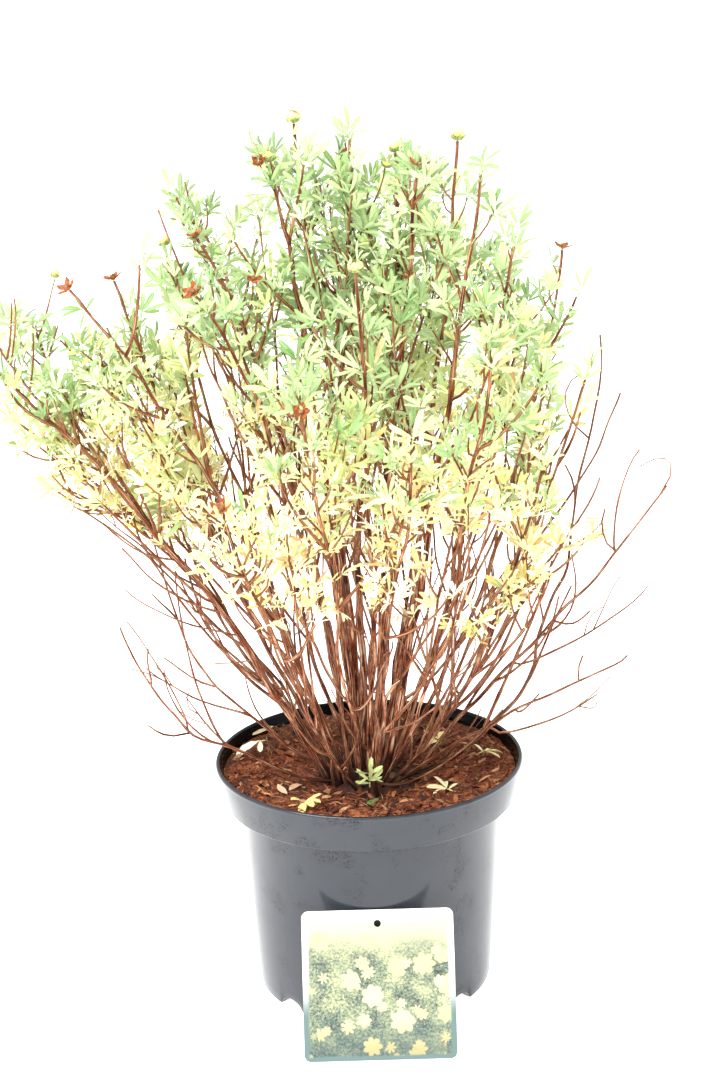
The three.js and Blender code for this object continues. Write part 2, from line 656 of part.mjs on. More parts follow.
// The upper half of a stem with its leafy shoots and the leaves of its own
function leafyStem(stem, radiusAt) {
  const { curve, number, head } = stem;
  const owner = `stem ${number}`;
  const start = WOOD_SHARE + GAP / curve.getLength();
  const rise = (1 - start) / 2;
  const turn = 2 * Math.PI * draw(number, 6, 0);
  const end = head === "leaf" && leafPlace(curve, 1, turn + Math.PI, TIP_LEAF_SLANT, TIP_LEAF_SIZE, owner);
  let solid = end
    ? solidOf(leafShape(end, TIP_LEAF_SIZE, curveRings(curve, end, [1, 1 - rise, start], radiusAt)))
    : solidOf(rod(curve, start, 1, radiusAt, 4, 2));
  for (const shoot of shootsOf(stem)) solid = solid.add(shoot);
  (head === "leaf" ? HEADLESS_STEM_LEAVES : STEM_LEAVES).forEach((share, place) => {
    const size = 0.9 + 0.2 * draw(number, 5, place);
    const matrix = leafPlace(curve, share, turn + place * GOLDEN_ANGLE, STEM_LEAF_SLANT, size, owner);
    if (matrix) solid = solid.add(solidOf(leafShape(matrix, size, [rootRing(matrix)])));
  });
  return solid;
}

function shootRadius(share) {
  return THREE.MathUtils.lerp(SHOOT_RADIUS, SHOOT_TIP_RADIUS, share);
}

// The leafy shoots of a stem, each turned by the golden angle from the last and then on until it is clear
function shootsOf({ number, curve: stem }) {
  const owner = `stem ${number}`;
  const solids = [];
  for (let place = 0; place < SHOOTS; place += 1) {
    const share = THREE.MathUtils.lerp(FIRST_SHOOT, LAST_SHOOT, place / (SHOOTS - 1));
    const length = SHOOT_LENGTH * (1.45 - share) * (0.8 + 0.5 * draw(number, 7, place));
    const size = 0.9 + 0.2 * draw(number, 9, place);
    const turn = place * GOLDEN_ANGLE + 2 * Math.PI * draw(number, 8, 0);
    const shoot = clearShoot(stem, share, turn, length, owner,
      (curve) => leafPlace(curve, 1, turn + place, SHOOT_LEAF_SLANT, size, owner));
    if (!shoot) continue;
    const rings = curveRings(shoot.curve, shoot.more, [1, 0.5, 0], shootRadius);
    solids.push(solidOf(leafShape(shoot.more, size, rings)));
  }
  return solids;
}

// Leaves at the foot

function makeFallenLeaves() {
  FALLEN_LEAVES.forEach(({ at: [x, y], turn }, index) => {
    const matrix = leafMatrix(new THREE.Vector3(x, y, 0), around(THREE.MathUtils.degToRad(turn), 1, 0),
      new THREE.Vector3(0, 0, 1));
    const leaf = leafShape(matrix, 1, [rootRing(matrix)]);
    const position = leaf.attributes.position;
    let lift = 0;
    for (let vertex = 0; vertex < position.count; vertex += 1) {
      lift = Math.max(lift, soilHeight(position.getX(vertex), position.getY(vertex)) - position.getZ(vertex));
    }
    addPart(`fallen_leaf_${index + 1}`, solidOf(leaf.translate(0, 0, lift + GAP)), YELLOW_LEAF);
  });
}

function makeBasalLeaf() {
  const stalk = new THREE.QuadraticBezierCurve3(...BASAL_STALK.map((point) => new THREE.Vector3(...point)));
  const matrix = leafMatrix(stalk.getPoint(1), new THREE.Vector3(0, -0.1, 1), new THREE.Vector3(0, -1, 0.3));
  const rings = curveRings(stalk, matrix, [1, 0.5, 0], () => SHOOT_TIP_RADIUS);
  addPart("basal_leaf", solidOf(leafShape(matrix, BASAL_LEAF_SIZE, rings)), GREEN);
}

addPart("pot", makePot(), POT_PLASTIC);
addPart("potting_soil", makeSoil(), SOIL);
addPart("label_card", makeCard(), CARD_PLASTIC);
makeShrub();
makeFallenLeaves();
makeBasalLeaf();

export default part;
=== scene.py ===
# %% [markdown]
# # A shrubby cinquefoil in a nursery pot
# The shrub stands in a glossy anthracite pot, and a picture card leans on the pot. About three dozen woody
# stems rise from one crown in the soil, and their upper halves carry small leaves of five leaflets.
# A solid model gives the place and size of every piece. This lesson loads it as a fixed frame and dresses it:
# each plain solid is replaced by a finer surface that is worked out with numpy in the same place.

# %% Load the frame
import math

import bpy
import numpy as np
from mathutils import Matrix, Vector


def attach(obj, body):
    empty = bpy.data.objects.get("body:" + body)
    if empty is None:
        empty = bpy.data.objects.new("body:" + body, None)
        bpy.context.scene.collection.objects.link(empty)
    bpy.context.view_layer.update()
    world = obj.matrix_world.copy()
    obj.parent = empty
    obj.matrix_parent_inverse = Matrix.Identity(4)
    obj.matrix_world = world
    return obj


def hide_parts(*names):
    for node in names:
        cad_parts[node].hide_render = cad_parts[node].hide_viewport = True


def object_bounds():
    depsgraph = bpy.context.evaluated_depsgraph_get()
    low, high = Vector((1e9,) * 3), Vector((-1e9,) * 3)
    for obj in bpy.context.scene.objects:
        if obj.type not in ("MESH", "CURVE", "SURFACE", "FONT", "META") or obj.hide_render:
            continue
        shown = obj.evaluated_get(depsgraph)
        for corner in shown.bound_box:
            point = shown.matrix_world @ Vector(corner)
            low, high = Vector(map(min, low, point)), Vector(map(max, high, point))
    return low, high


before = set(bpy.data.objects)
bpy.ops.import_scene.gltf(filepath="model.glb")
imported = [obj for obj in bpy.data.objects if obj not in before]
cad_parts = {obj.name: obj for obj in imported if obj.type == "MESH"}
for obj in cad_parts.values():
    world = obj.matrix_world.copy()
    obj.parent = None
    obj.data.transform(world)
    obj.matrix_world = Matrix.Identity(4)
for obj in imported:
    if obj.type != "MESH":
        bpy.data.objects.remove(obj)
cad_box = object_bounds()
MM = 0.001
LOW_CORNER, HIGH_CORNER = np.array(cad_box[0]), np.array(cad_box[1])
print("nodes", len(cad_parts), "box in mm", np.round((HIGH_CORNER - LOW_CORNER) / MM))

# %% [markdown]
# ## Camera
# The photograph looks down on the rim of the pot from a little above the shrub, about a metre away. Blender's
# camera looks along its own -Z, so it is first turned up to the horizon, then down by the pitch, and last
# rolled about its own axis, because the photographed pot leans slightly to the left.

# %% Place the camera
SENSOR_HEIGHT = 36
FOCAL_SHARE = 1760 / 1080
CAMERA_PLACE = Vector((-1.7, -1015, 566)) * MM
CAMERA_PITCH, CAMERA_ROLL = math.radians(15.6), math.radians(-1.64)

camera = bpy.data.objects.new("camera", bpy.data.cameras.new("camera"))
camera.data.sensor_fit = "VERTICAL"
camera.data.sensor_height = SENSOR_HEIGHT
camera.data.lens = FOCAL_SHARE * SENSOR_HEIGHT
aim = Matrix.Rotation(math.pi / 2 - CAMERA_PITCH, 4, "X") @ Matrix.Rotation(CAMERA_ROLL, 4, "Z")
camera.matrix_world = Matrix.Translation(CAMERA_PLACE) @ aim
bpy.context.collection.objects.link(camera)
bpy.context.scene.camera = camera
print("lens in mm", round(camera.data.lens, 2))

# %% [markdown]
# ## Node materials
# Colours are written as the numbers from 0 to 255 that a screen shows, because those can be compared with the
# photograph. Shaders work with linear light, so that each colour is first turned into it.

# %% Colours


def linear(colour):
    """Screen numbers to linear light: below 0.04045 they are divided by 12.92, and above it the light is
    ((shown + 0.055) / 1.055) to the power 2.4. A socket stays as it is."""
    if isinstance(colour, bpy.types.NodeSocket):
        return colour
    shown = np.array(colour) / 255
    return (*np.where(shown <= 0.04045, shown / 12.92, ((shown + 0.055) / 1.055) ** 2.4).tolist(), 1.0)


print("screen grey 128 is", round(linear((128, 128, 128))[0], 3), "in linear light")

# %% [markdown]
# Every finish below is a small tree of nodes. It could be set up by hand in the shader editor, but one class
# keeps it short here: each of its methods adds a node and gives back the socket that comes out of it.

# %% Material helper


class Paint:
    """A node material with its Principled shader, whose constant values are set on its own sockets."""

    def __init__(self, name, **values):
        self.material = bpy.data.materials.new(name)
        self.material.use_nodes = True
        self.tree = self.material.node_tree
        self.tree.nodes.clear()
        self.shader = self.node("BsdfPrincipled", values)
        self.tree.links.new(self.shader.outputs[0], self.node("OutputMaterial").inputs["Surface"])
        coordinates = self.node("TexCoord").outputs
        self.place, self.uv = coordinates["Object"], coordinates["UV"]

    def node(self, kind, inputs=None, **settings):
        """Adds a node. An input is a socket to link from, or a plain value."""
        made = self.tree.nodes.new("ShaderNode" + kind)
        for name, value in settings.items():
            setattr(made, name, value)
        for name, value in (inputs or {}).items():
            if isinstance(value, bpy.types.NodeSocket):
                self.tree.links.new(value, made.inputs[name])
            else:
                made.inputs[name].default_value = value
        return made

    def math(self, operation, *values, clamp=False):
        """One operation on numbers or sockets."""
        return self.node("Math", dict(enumerate(values)), operation=operation, use_clamp=clamp).outputs[0]

    def times(self, first, second, plus=0.0, clamp=False):
        """first x second + plus."""
        return self.math("MULTIPLY_ADD", first, second, plus, clamp=clamp)

    def smooth(self, value, low, high, first=0.0, last=1.0):
        """A value from low to high, moved to the range from first to last with smooth ends."""
        inputs = {"Value": value, "From Min": low, "From Max": high, "To Min": first, "To Max": last}
        return self.node("MapRange", inputs, interpolation_type="SMOOTHSTEP").outputs[0]

    def noise(self, scale, detail=3.0, roughness=0.55, at=None):
        """Noise from 0 to 1, at the object's own coordinates unless others are given."""
        inputs = {"Vector": at or self.place, "Scale": scale, "Detail": detail, "Roughness": roughness}
        return self.node("TexNoise", inputs).outputs["Fac"]

    def mix(self, factor, first, second):
        """The first colour where the factor is 0, the second where it is 1."""
        return self.node("Mix", {0: factor, 6: linear(first), 7: linear(second)}, data_type="RGBA").outputs[2]

    def ramp(self, factor, *stops):
        """A colour ramp. Each stop is a position with its red, green and blue."""
        made = self.node("ValToRGB", {"Fac": factor})
        elements = made.color_ramp.elements
        elements[0].position, elements[1].position = stops[0][0], stops[-1][0]
        for position, *_ in stops[1:-1]:
            elements.new(position)
        for element, (_, *colour) in zip(elements, stops):
            element.color = linear(colour)
        return made.outputs["Color"]

    def vector(self, operation, *values):
        """One operation on vectors, axis by axis."""
        return self.node("VectorMath", dict(enumerate(values)), operation=operation).outputs[0]

    def parts(self, vector):
        """The x, y and z of a vector."""
        return self.node("SeparateXYZ", {"Vector": vector}).outputs

    def radius(self):
        """The distance from the pot's axis: the root of x² + y²."""
        x, y, _ = self.parts(self.place)
        return self.math("SQRT", self.times(x, x, self.times(y, y)))

    def tone(self):
        """The four numbers from 0 to 1 that a piece holds at each of its points."""
        made = self.node("Attribute", attribute_name="tone").outputs
        return (*self.node("SeparateColor", {"Color": made["Color"]}).outputs, made["Alpha"])

    def finish(self, colour, height=None, depth=0.0, strength=1.0, **links):
        """Links the colour, a bump of that depth in metres and any other input of the shader."""
        if height is not None:
            bump = self.node("Bump", {"Height": height, "Distance": depth, "Strength": strength})
            links["Normal"] = bump.outputs["Normal"]
        for name, socket in {"Base Color": colour, **links}.items():
            self.tree.links.new(socket, self.shader.inputs[name])
        return self.material


print("the helper offers", *(name for name in vars(Paint) if not name.startswith("_")))

# %% [markdown]
# ## Floor and light
# The photograph is high-key: white paper under and behind the shrub, and light from all round. A white sky
# gives that even light and the white reflections on the pot, and one large soft lamp at the upper left
# gives the stems a lighter and a darker side. The paper lies just under the pot, so that the two never share
# a plane.

# %% Floor, sky and lamp
HALF_FLOOR, FLOOR_DROP = 6.0, 0.2 * MM
FLOOR_GLOW, SKY_STRENGTH = 1.0, 1.25
LAMP_PLACE, LAMP_AIM = Vector((-1.1, -1.3, 1.9)), Vector((0, 0, 0.25))
LAMP_SIZE, LAMP_POWER = 1.6, 75

corners = [(x * HALF_FLOOR, y * HALF_FLOOR, -FLOOR_DROP) for x, y in ((-1, -1), (1, -1), (1, 1), (-1, 1))]
floor = bpy.data.objects.new("floor", bpy.data.meshes.new("floor"))
floor.data.from_pydata(corners, [], [(0, 1, 2, 3)])
bpy.context.collection.objects.link(floor)
glow = {"Emission Color": (1, 1, 1, 1), "Emission Strength": FLOOR_GLOW}
paper = Paint("white_paper", Roughness=0.9, **glow)
white = paper.ramp(paper.noise(60.0), (0.3, 246, 246, 246), (0.7, 250, 250, 250))
floor.data.materials.append(paper.finish(white))

world = bpy.data.worlds.new("sky")
world.use_nodes = True
world.node_tree.nodes["Background"].inputs["Color"].default_value = (1, 1, 1, 1)
world.node_tree.nodes["Background"].inputs["Strength"].default_value = SKY_STRENGTH
bpy.context.scene.world = world
lamp = bpy.data.objects.new("lamp", bpy.data.lights.new("lamp", "AREA"))
lamp.data.size, lamp.data.energy = LAMP_SIZE, LAMP_POWER
lamp.location = LAMP_PLACE
lamp.rotation_euler = (LAMP_AIM - LAMP_PLACE).to_track_quat("-Z", "Y").to_euler()
bpy.context.collection.objects.link(lamp)
bpy.context.scene.view_settings.view_transform = "Standard"
print("sky", SKY_STRENGTH, "lamp", LAMP_POWER, "W")

# %% [markdown]
# ## Numbers and noise
# Two kinds of chance are used. The first is the one that the solid model uses: a number worked out from three
# whole numbers, so that both agree on every leaf. The second is numpy's own generator with a fixed seed, for
# all that only this lesson adds. Value noise gives soil and bark their uneven surfaces.

# %% Chance and noise
rng = np.random.default_rng(31)


def draw(first, second, third):
    """The fraction of a large multiple of a sine: a number from 0 to 1 that only the three numbers decide."""
    wave = math.sin(first * 12.9898 + second * 78.233 + third * 37.719) * 43758.5453
    return wave - math.floor(wave)


def smoothstep(value, low, high):
    """0 below low and 1 above high, with the curve 3t² - 2t³ between them."""
    share = np.clip((np.asarray(value) - low) / (high - low), 0, 1)
    return share * share * (3 - 2 * share)


def lattice(column, row, seed):
    """A number from 0 to 1 at each whole column and row."""
    wave = np.sin(column * 127.1 + row * 311.7 + seed * 74.7) * 43758.5453
    return wave - np.floor(wave)


def noise(x, y, seed=0):
    """Value noise from -1 to 1: the numbers at the four corners of a cell, blended by smooth steps."""
    column, row = np.floor(x), np.floor(y)
    across, along = smoothstep(x - column, 0, 1), smoothstep(y - row, 0, 1)
    near, far = (lattice(column, line, seed) * (1 - across) + lattice(column + 1, line, seed) * across
                 for line in (row, row + 1))
    return 2 * (near * (1 - along) + far * along) - 1


def unit(vectors):
    """Vectors divided by their own lengths."""
    return vectors / np.maximum(np.linalg.norm(vectors, axis=-1, keepdims=True), 1e-12)


print("draw(1, 2, 3) is", round(draw(1, 2, 3), 4))

# %% [markdown]
# ## Grids of points
# All surfaces here are of two kinds. A turned body is a profile carried round an axis, as on a potter's
# wheel. A swept body is a flat or round section carried along a path: with a round section it is a stem, and
# with a flat one a leaflet, a petal or a chip of bark. Both are grids of points, so that their faces follow
# from the counts alone, and a grid closes with one point at each end.

# %% Turned bodies


def grid_faces(rings, around, copies=1):
    """Faces of closed tubes. Each copy has rings x around points, then its first and its last pole."""
    ring, step = np.meshgrid(np.arange(rings - 1), np.arange(around), indexing="ij")
    here, after = ring * around + step, ring * around + (step + 1) % around
    quads = np.stack([here, after, after + around, here + around], axis=-1).reshape(-1, 4)
    step, onward = np.arange(around), (np.arange(around) + 1) % around
    first, rim = rings * around, (rings - 1) * around
    triangles = np.concatenate([np.stack([onward, step, np.full(around, first)], axis=-1),
                                np.stack([rim + step, rim + onward, np.full(around, first + 1)], axis=-1)])
    shift = np.arange(copies)[:, None, None] * (first + 2)
    return (quads[None] + shift).reshape(-1, 4), (triangles[None] + shift).reshape(-1, 3)


def turned(profile, sides):
    """A body turned about Z. The profile's (radius, height) pairs start and end on the axis, and every other
    one makes a ring: x = r cos(angle), y = r sin(angle)."""
    profile = np.asarray(profile, float)
    angle = np.linspace(0, 2 * np.pi, sides, endpoint=False)
    radius, height = profile[1:-1, 0, None], profile[1:-1, 1, None]
    rings = np.stack([radius * np.cos(angle), radius * np.sin(angle), height + 0 * angle], axis=-1)
    poles = profile[[0, -1], 1]
    uv = np.stack(np.broadcast_arrays(angle / (2 * np.pi), height), axis=-1).reshape(-1, 2)
    uv = np.concatenate([uv, np.outer(poles, [0, 1])])
    quads, triangles = grid_faces(len(profile) - 2, sides)
    return {"points": np.concatenate([rings.reshape(-1, 3), np.outer(poles, [0, 0, 1])]), "quads": quads,
            "triangles": triangles, "uv": uv, "tone": np.zeros((len(uv), 4))}


print("a tube of 3 rings with 4 sides has", sum(map(len, grid_faces(3, 4))), "faces")

# %% [markdown]
# A swept body needs to know, at each point of its path, which way is across and which is up. Blender's curves
# could do this one by one. Here numpy does it for thousands of paths at once: up keeps to a given direction,
# or to the axis that the path is least along, so that no body twists.

# %% Swept bodies


def swept(paths, width, thickness, sides, flat=None, cup=0.0, tone=None):
    """N closed bodies swept along N paths, whose first and last points are the poles. Round each other point
    lies an ellipse: width x cos(angle) across and thickness x sin(angle) up, and its edges are raised by cup
    times the width times cos²(angle)."""
    paths = np.asarray(paths, float)
    count, length = paths.shape[:2]
    along = unit(np.gradient(paths, axis=1))
    if flat is None:
        flat = np.eye(3)[np.argmin(np.abs(along.mean(axis=1)), axis=1)]
    across = unit(np.cross(np.broadcast_to(flat[:, None], along.shape), along))
    up = np.cross(along, across)
    angle = np.linspace(0, 2 * np.pi, sides, endpoint=False)
    side, rise = np.cos(angle)[:, None], np.sin(angle)[:, None]
    wide, thick = (np.broadcast_to(size, (count, length))[:, 1:-1, None, None] for size in (width, thickness))
    lift = thick * rise + np.reshape(cup, (-1, 1, 1, 1)) * wide * side**2
    rings = paths[:, 1:-1, None] + across[:, 1:-1, None] * wide * side + up[:, 1:-1, None] * lift
    points = np.concatenate([rings.reshape(count, -1, 3), paths[:, :1], paths[:, -1:]], axis=1)
    quads, triangles = grid_faces(length - 2, sides, count)
    share = np.linspace(0, 1, length)[1:-1, None]
    uv = np.stack(np.broadcast_arrays(0.5 + 0.5 * side[:, 0], share), axis=-1).reshape(-1, 2)
    uv = np.tile(np.concatenate([uv, [[0.5, 0], [0.5, 1]]]), (count, 1))
    under = np.concatenate([np.tile(rise[:, 0] < -0.5, length - 2), [False, False]])
    tone = np.zeros((count, 3)) if tone is None else np.asarray(tone, float)
    tone = np.column_stack([np.repeat(tone, len(under), axis=0), np.tile(under, count)])
    return {"points": points.reshape(-1, 3), "quads": quads, "triangles": triangles, "uv": uv, "tone": tone}


print("a leaflet with 3 rings has", len(swept(np.eye(3)[None, [0, 0, 1, 2, 2]], 1, 1, 4)["points"]), "points")

# %% [markdown]
# ## From arrays to objects
# A mesh is filled straight from the arrays, which is far quicker than adding faces one at a time. Its faces
# have to point out, or the light would treat them as inside: the signed volume of a closed grid tells.

# %% Objects


def outward(chunk):
    """The same grid with its faces pointing out: the sum of all corner volumes a·(b x c) is positive."""
    points, quads, triangles = chunk["points"], chunk["quads"], chunk["triangles"]
    split = np.concatenate([triangles, quads[:, [0, 1, 2]], quads[:, [0, 2, 3]]])
    a, b, c = (points[split[:, corner]] for corner in range(3))
    if np.einsum("ij,ij->i", a, np.cross(b, c)).sum() < 0:
        chunk = {**chunk, "quads": quads[:, ::-1], "triangles": triangles[:, ::-1]}
    return chunk


def joined(chunks):
    """Several grids as one, with the faces' numbers moved on."""
    starts = np.cumsum([0] + [len(chunk["points"]) for chunk in chunks[:-1]])
    whole = {key: np.concatenate([chunk[key] for chunk in chunks]) for key in ("points", "uv", "tone")}
    for key in ("quads", "triangles"):
        whole[key] = np.concatenate([chunk[key] + start for chunk, start in zip(chunks, starts)])
    return whole


def piece(name, chunks, material, replaced=(), sharp=50):
    """A Blender object from grids: it rides on the plant's one body and stands for the named solids."""
    grid = joined([outward(chunk) for chunk in chunks])
    quads, triangles = grid["quads"], grid["triangles"]
    corners = np.concatenate([quads.ravel(), triangles.ravel()])
    starts = np.concatenate([np.arange(len(quads)) * 4, quads.size + np.arange(len(triangles)) * 3])
    mesh = bpy.data.meshes.new(name)
    mesh.vertices.add(len(grid["points"]))
    mesh.vertices.foreach_set("co", grid["points"].ravel())
    mesh.loops.add(len(corners))
    mesh.loops.foreach_set("vertex_index", corners.astype(np.int32))
    mesh.polygons.add(len(starts))
    mesh.polygons.foreach_set("loop_start", starts.astype(np.int32))
    mesh.update(calc_edges=True)
    mesh.uv_layers.new(name="surface").data.foreach_set("uv", grid["uv"][corners].ravel())
    mesh.attributes.new("tone", "FLOAT_COLOR", "POINT").data.foreach_set("color", grid["tone"].ravel())
    mesh.shade_smooth()
    mesh.set_sharp_from_angle(angle=math.radians(sharp))
    mesh.materials.append(material)
    made = bpy.data.objects.new(name, mesh)
    bpy.context.collection.objects.link(made)
    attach(made, "root")
    if replaced:
        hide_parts(*replaced)
    return len(quads) * 2 + len(triangles)


# %% [markdown]
# ## The pot
# A three-litre nursery pot is blown or moulded in one thin wall: a slightly conical foot, a ledge, and a
# turned-out band up to the rim. Eight half-round channels under the base run out through the foot and drain
# it. The pot could be cut with booleans, but here it stays one turned surface: wherever a channel runs, the
# underside is lifted by the channel's height, and the wall above it is pressed up by a share that fades.

# %% Pot surface
POT_HEIGHT, RIM_RADIUS, LIP = 145 * MM, 95 * MM, 2.8 * MM
BAND_BOTTOM, BAND_RADIUS, LEDGE = 122 * MM, 90.5 * MM, 2 * MM
NECK_RADIUS, FOOT_RADIUS = 81 * MM, 73.5 * MM
WALL, BASE = 1.8 * MM, 2.2 * MM
CHANNELS, CHANNEL_HALF, CHANNEL_HEIGHT, CHANNEL_START, CHANNEL_END = 8, 9 * MM, 6.5 * MM, 46 * MM, 3 * MM
PRESSED_HEIGHT = 22 * MM
POT_SIDES = 320
# Radius and height in millimetres: the underside, up the outside, over the rim, down the inside, the floor
POT_PROFILE = [[radius, 0] for radius in (0, 20, 38, 43, 44.5, 46, 47.5, 49, 52, 58, 65, 71)] + [
    [73.5, 0], [73.9, 7], [74.4, 14], [74.9, 22], [77, 60], [81, 120], [89.1, 121], [90.5, 122],
    [94.6, 142.8], [95, 143.7], [94.5, 145], [92.6, 145], [92.2, 144], [87.7, 124], [79.2, 122], [71.7, 2.2],
] + [[radius, 2.2] for radius in (68, 60, 52, 48, 45, 43, 41, 30, 15, 0)]


def rounded(corners, reach, steps):
    """A profile whose inner corners are rounded: near each, a curve runs from reach before it to reach after
    it, through (1-t)² a + 2t(1-t) corner + t² b."""
    corners = np.asarray(corners, float)
    share = np.linspace(0, 1, steps)[:, None]
    rows = [corners[:1]]
    for before, corner, after in zip(corners[:-2], corners[1:-1], corners[2:]):
        first, last = (corner + side * min(0.45, reach / np.linalg.norm(side))
                       for side in (before - corner, after - corner))
        rows.append((1 - share) ** 2 * first + 2 * share * (1 - share) * corner + share**2 * last)
    return np.concatenate(rows + [corners[-1:]])


def channel_height(x, y, skin=0.0):
    """Height of the channels at a place: half ellipses across eight rays, which start at a rounded end."""
    turn = np.arctan2(y, x) + np.pi / 2
    pitch = 2 * np.pi / CHANNELS
    turn = turn - pitch * np.round(turn / pitch)
    along, aside = np.hypot(x, y) * np.cos(turn), np.hypot(x, y) * np.sin(turn)
    back = np.clip((CHANNEL_START - skin + CHANNEL_END - along) / CHANNEL_END, 0, 1)
    inside = 1 - (aside / (CHANNEL_HALF + skin)) ** 2 - back**2
    return (CHANNEL_HEIGHT + skin) * np.sqrt(np.clip(inside, 0, 1))


def pot_grid():
    """The turned profile of the pot, lifted over its channels."""
    grid = turned(rounded(POT_PROFILE, 0.5, 3) * MM, POT_SIDES)
    x, y, z = grid["points"].T
    inside = (z > BASE - 0.1 * MM) & (np.hypot(x, y) < FOOT_RADIUS - WALL + 0.6 * MM) & (z < 10 * MM)
    lifted = np.where(inside, np.maximum(z, channel_height(x, y, WALL)),
                      z + channel_height(x, y) * np.clip(1 - z / PRESSED_HEIGHT, 0, 1))
    grid["points"][:, 2] = np.where(z < PRESSED_HEIGHT, lifted, z)
    return grid


print("channel height over the front one in mm", round(float(channel_height(0, -0.06)) / MM, 2))

# %% [markdown]
# Recycled nursery plastic is almost black, but it is glossy, so that the white studio shows in it as grey in
# the middle and as white at its edges. A thin grey film of lime from watering lies on it, broken by patches
# of fine dark specks, which shine less than the rest. The inner wall above the soil is painted black and
# less shiny, as painted shade inside the rim: a cone in the middle of the band's wall tells it from the
# outer one.

# %% Pot plastic
BAND_SLOPE = (RIM_RADIUS - BAND_RADIUS) / (POT_HEIGHT - BAND_BOTTOM)
BAND_CONE = BAND_RADIUS - 1.2 * MM - BAND_BOTTOM * BAND_SLOPE


def pot_plastic():
    """Nearly black plastic under a grey film, which is bare where patches x specks is high. Inside the cone,
    radius < slope x height + cone, painted shade makes it black and duller."""
    paint = Paint("pot_plastic", IOR=1.5)
    patches = paint.smooth(paint.noise(44.0, 4.0, 0.6), 0.50, 0.64)
    bare = paint.times(patches, paint.smooth(paint.noise(800.0, 5.0, 0.75), 0.47, 0.60))
    film = paint.ramp(paint.noise(14.0, 4.0), (0.35, 33, 38, 46), (0.65, 42, 47, 54))
    height = paint.parts(paint.place)[2]
    in_cone = paint.math("LESS_THAN", paint.radius(), paint.times(height, BAND_SLOPE, BAND_CONE))
    # painted shade: the inner wall above the soil is made black here and less shiny below
    inner = paint.times(in_cone, paint.math("GREATER_THAN", height, BAND_BOTTOM))
    colour = paint.mix(inner, paint.mix(bare, film, (18, 20, 24)), (9, 9, 11))
    shine = paint.times(inner, -0.35, paint.times(bare, -0.22, 0.5))
    roughness = paint.times(paint.noise(160.0), 0.10, 0.12)
    return paint.finish(colour, paint.noise(900.0, 2.0), 0.03 * MM, 0.25,
                        Roughness=roughness, **{"Specular IOR Level": shine})


print("pot triangles", piece("nursery_pot", [pot_grid()], pot_plastic(), ["pot"], sharp=35))

# %% [markdown]
# ## The soil
# Bark and peat fill the pot to some 8 mm below the rim and sink towards the crown. The surface is a turned
# disc whose points are moved up and down: first by the same long wave as the solid, then by three layers of
# noise, each finer and lower than the last. Its browns turn olive in some regions and at the back, and
# painted shade makes them nearly black round the crown, under the stems.

# %% Soil surface
INNER_RADIUS = RIM_RADIUS - LIP
SOIL_EDGE, SOIL_DISH = 137 * MM, 128 * MM
CROWN_RADIUS = 28 * MM
SOIL_RINGS, SOIL_SIDES = 110, 420
# Radius and height in millimetres of the soil inside the pot's wall
SOIL_WALL = np.array([[0, 8.6], [71.3, 8.6], [78.9, 122.3], [87.4, 124.3]]) * MM


def soil_height(x, y):
    """The solid's own soil: a dish with long lumps that fade out towards the crown and the wall."""
    radius = np.hypot(x, y)
    dip = smoothstep(radius, CROWN_RADIUS, INNER_RADIUS - 8 * MM)
    lumps = 0.9 * np.sin(x / (8 * MM) + 1.7) * np.cos(y / (10 * MM)) + 0.6 * np.sin((x + y) / (6 * MM))
    held = smoothstep(radius, CROWN_RADIUS, CROWN_RADIUS + 14 * MM)
    edge = 1 - smoothstep(radius, INNER_RADIUS - 12 * MM, INNER_RADIUS - MM)
    return SOIL_DISH + (SOIL_EDGE - SOIL_DISH) * dip + lumps * MM * held * edge


def crumbs(x, y):
    """Crumbs on the soil: three layers of noise, and pits where the last layer is low."""
    size = np.array([1.3, 2.9, 7, 4]) * MM
    fine, middle, coarse, pits = (noise(x / cell, y / cell, seed) for cell, seed in zip(size, (3, 2, 1, 4)))
    return (0.45 * fine + 0.7 * middle + coarse - 1.2 * smoothstep(-pits, 0.35, 0.8)) * MM


def soil_grid():
    """A turned disc inside the pot's wall. The points of its top go to the soil's height + its crumbs, which
    are lower by a share towards the wall."""
    top = np.linspace(INNER_RADIUS - 1.9 * MM, 2 * MM, SOIL_RINGS)
    grid = turned([*SOIL_WALL, *([radius, SOIL_EDGE] for radius in top), [0, SOIL_EDGE]], SOIL_SIDES)
    x, y, z = grid["points"].T
    at_edge = smoothstep(np.hypot(x, y), INNER_RADIUS - 6 * MM, INNER_RADIUS - 2 * MM)
    moved = soil_height(x, y) + crumbs(x, y) * (1 - 0.6 * at_edge)
    grid["points"][:, 2] = np.where(z > SOIL_EDGE - MM, moved, z)
    return grid


def soil_material():
    """Brown by fine noise, more olive where noise + 3.5 y is high, and painted shade makes it nearly black
    round the crown.
    """
    paint = Paint("bark_and_peat", Roughness=0.92)
    brown = paint.ramp(paint.noise(420.0, 6.0, 0.68), (0.30, 22, 9, 4), (0.44, 92, 40, 17),
                       (0.56, 150, 78, 40), (0.72, 212, 152, 100))
    region = paint.smooth(paint.times(paint.parts(paint.place)[1], 3.5, paint.noise(30.0)), 0.42, 0.74)
    colour = paint.mix(region, brown, paint.mix(0.6, brown, (60, 40, 18)))
    # painted shade: the soil darkens towards the crown, under the stems
    painted_crown_shade = paint.smooth(paint.radius(), 40 * MM, 27 * MM, 0.0, 0.8)
    return paint.finish(paint.mix(painted_crown_shade, colour, (24, 12, 8)), paint.noise(900.0, 4.0), 0.4 * MM, 0.8)


soil = soil_material()
print("soil triangles", piece("soil_surface", [soil_grid()], soil, ["potting_soil"], sharp=80))

# %% [markdown]
# On the soil lie chips of bark and loose fibres. They could be scattered with geometry nodes, but as swept
# bodies on the known soil height they are only two meshes. Each has its own brown, read from its tone.

# %% Chips and fibres
CHIPS, FIBRES = 900, 1500
CHIP_FORM = np.array([0, 0.8, 1.0, 0.75, 0])
FIBRE_STEPS = 7


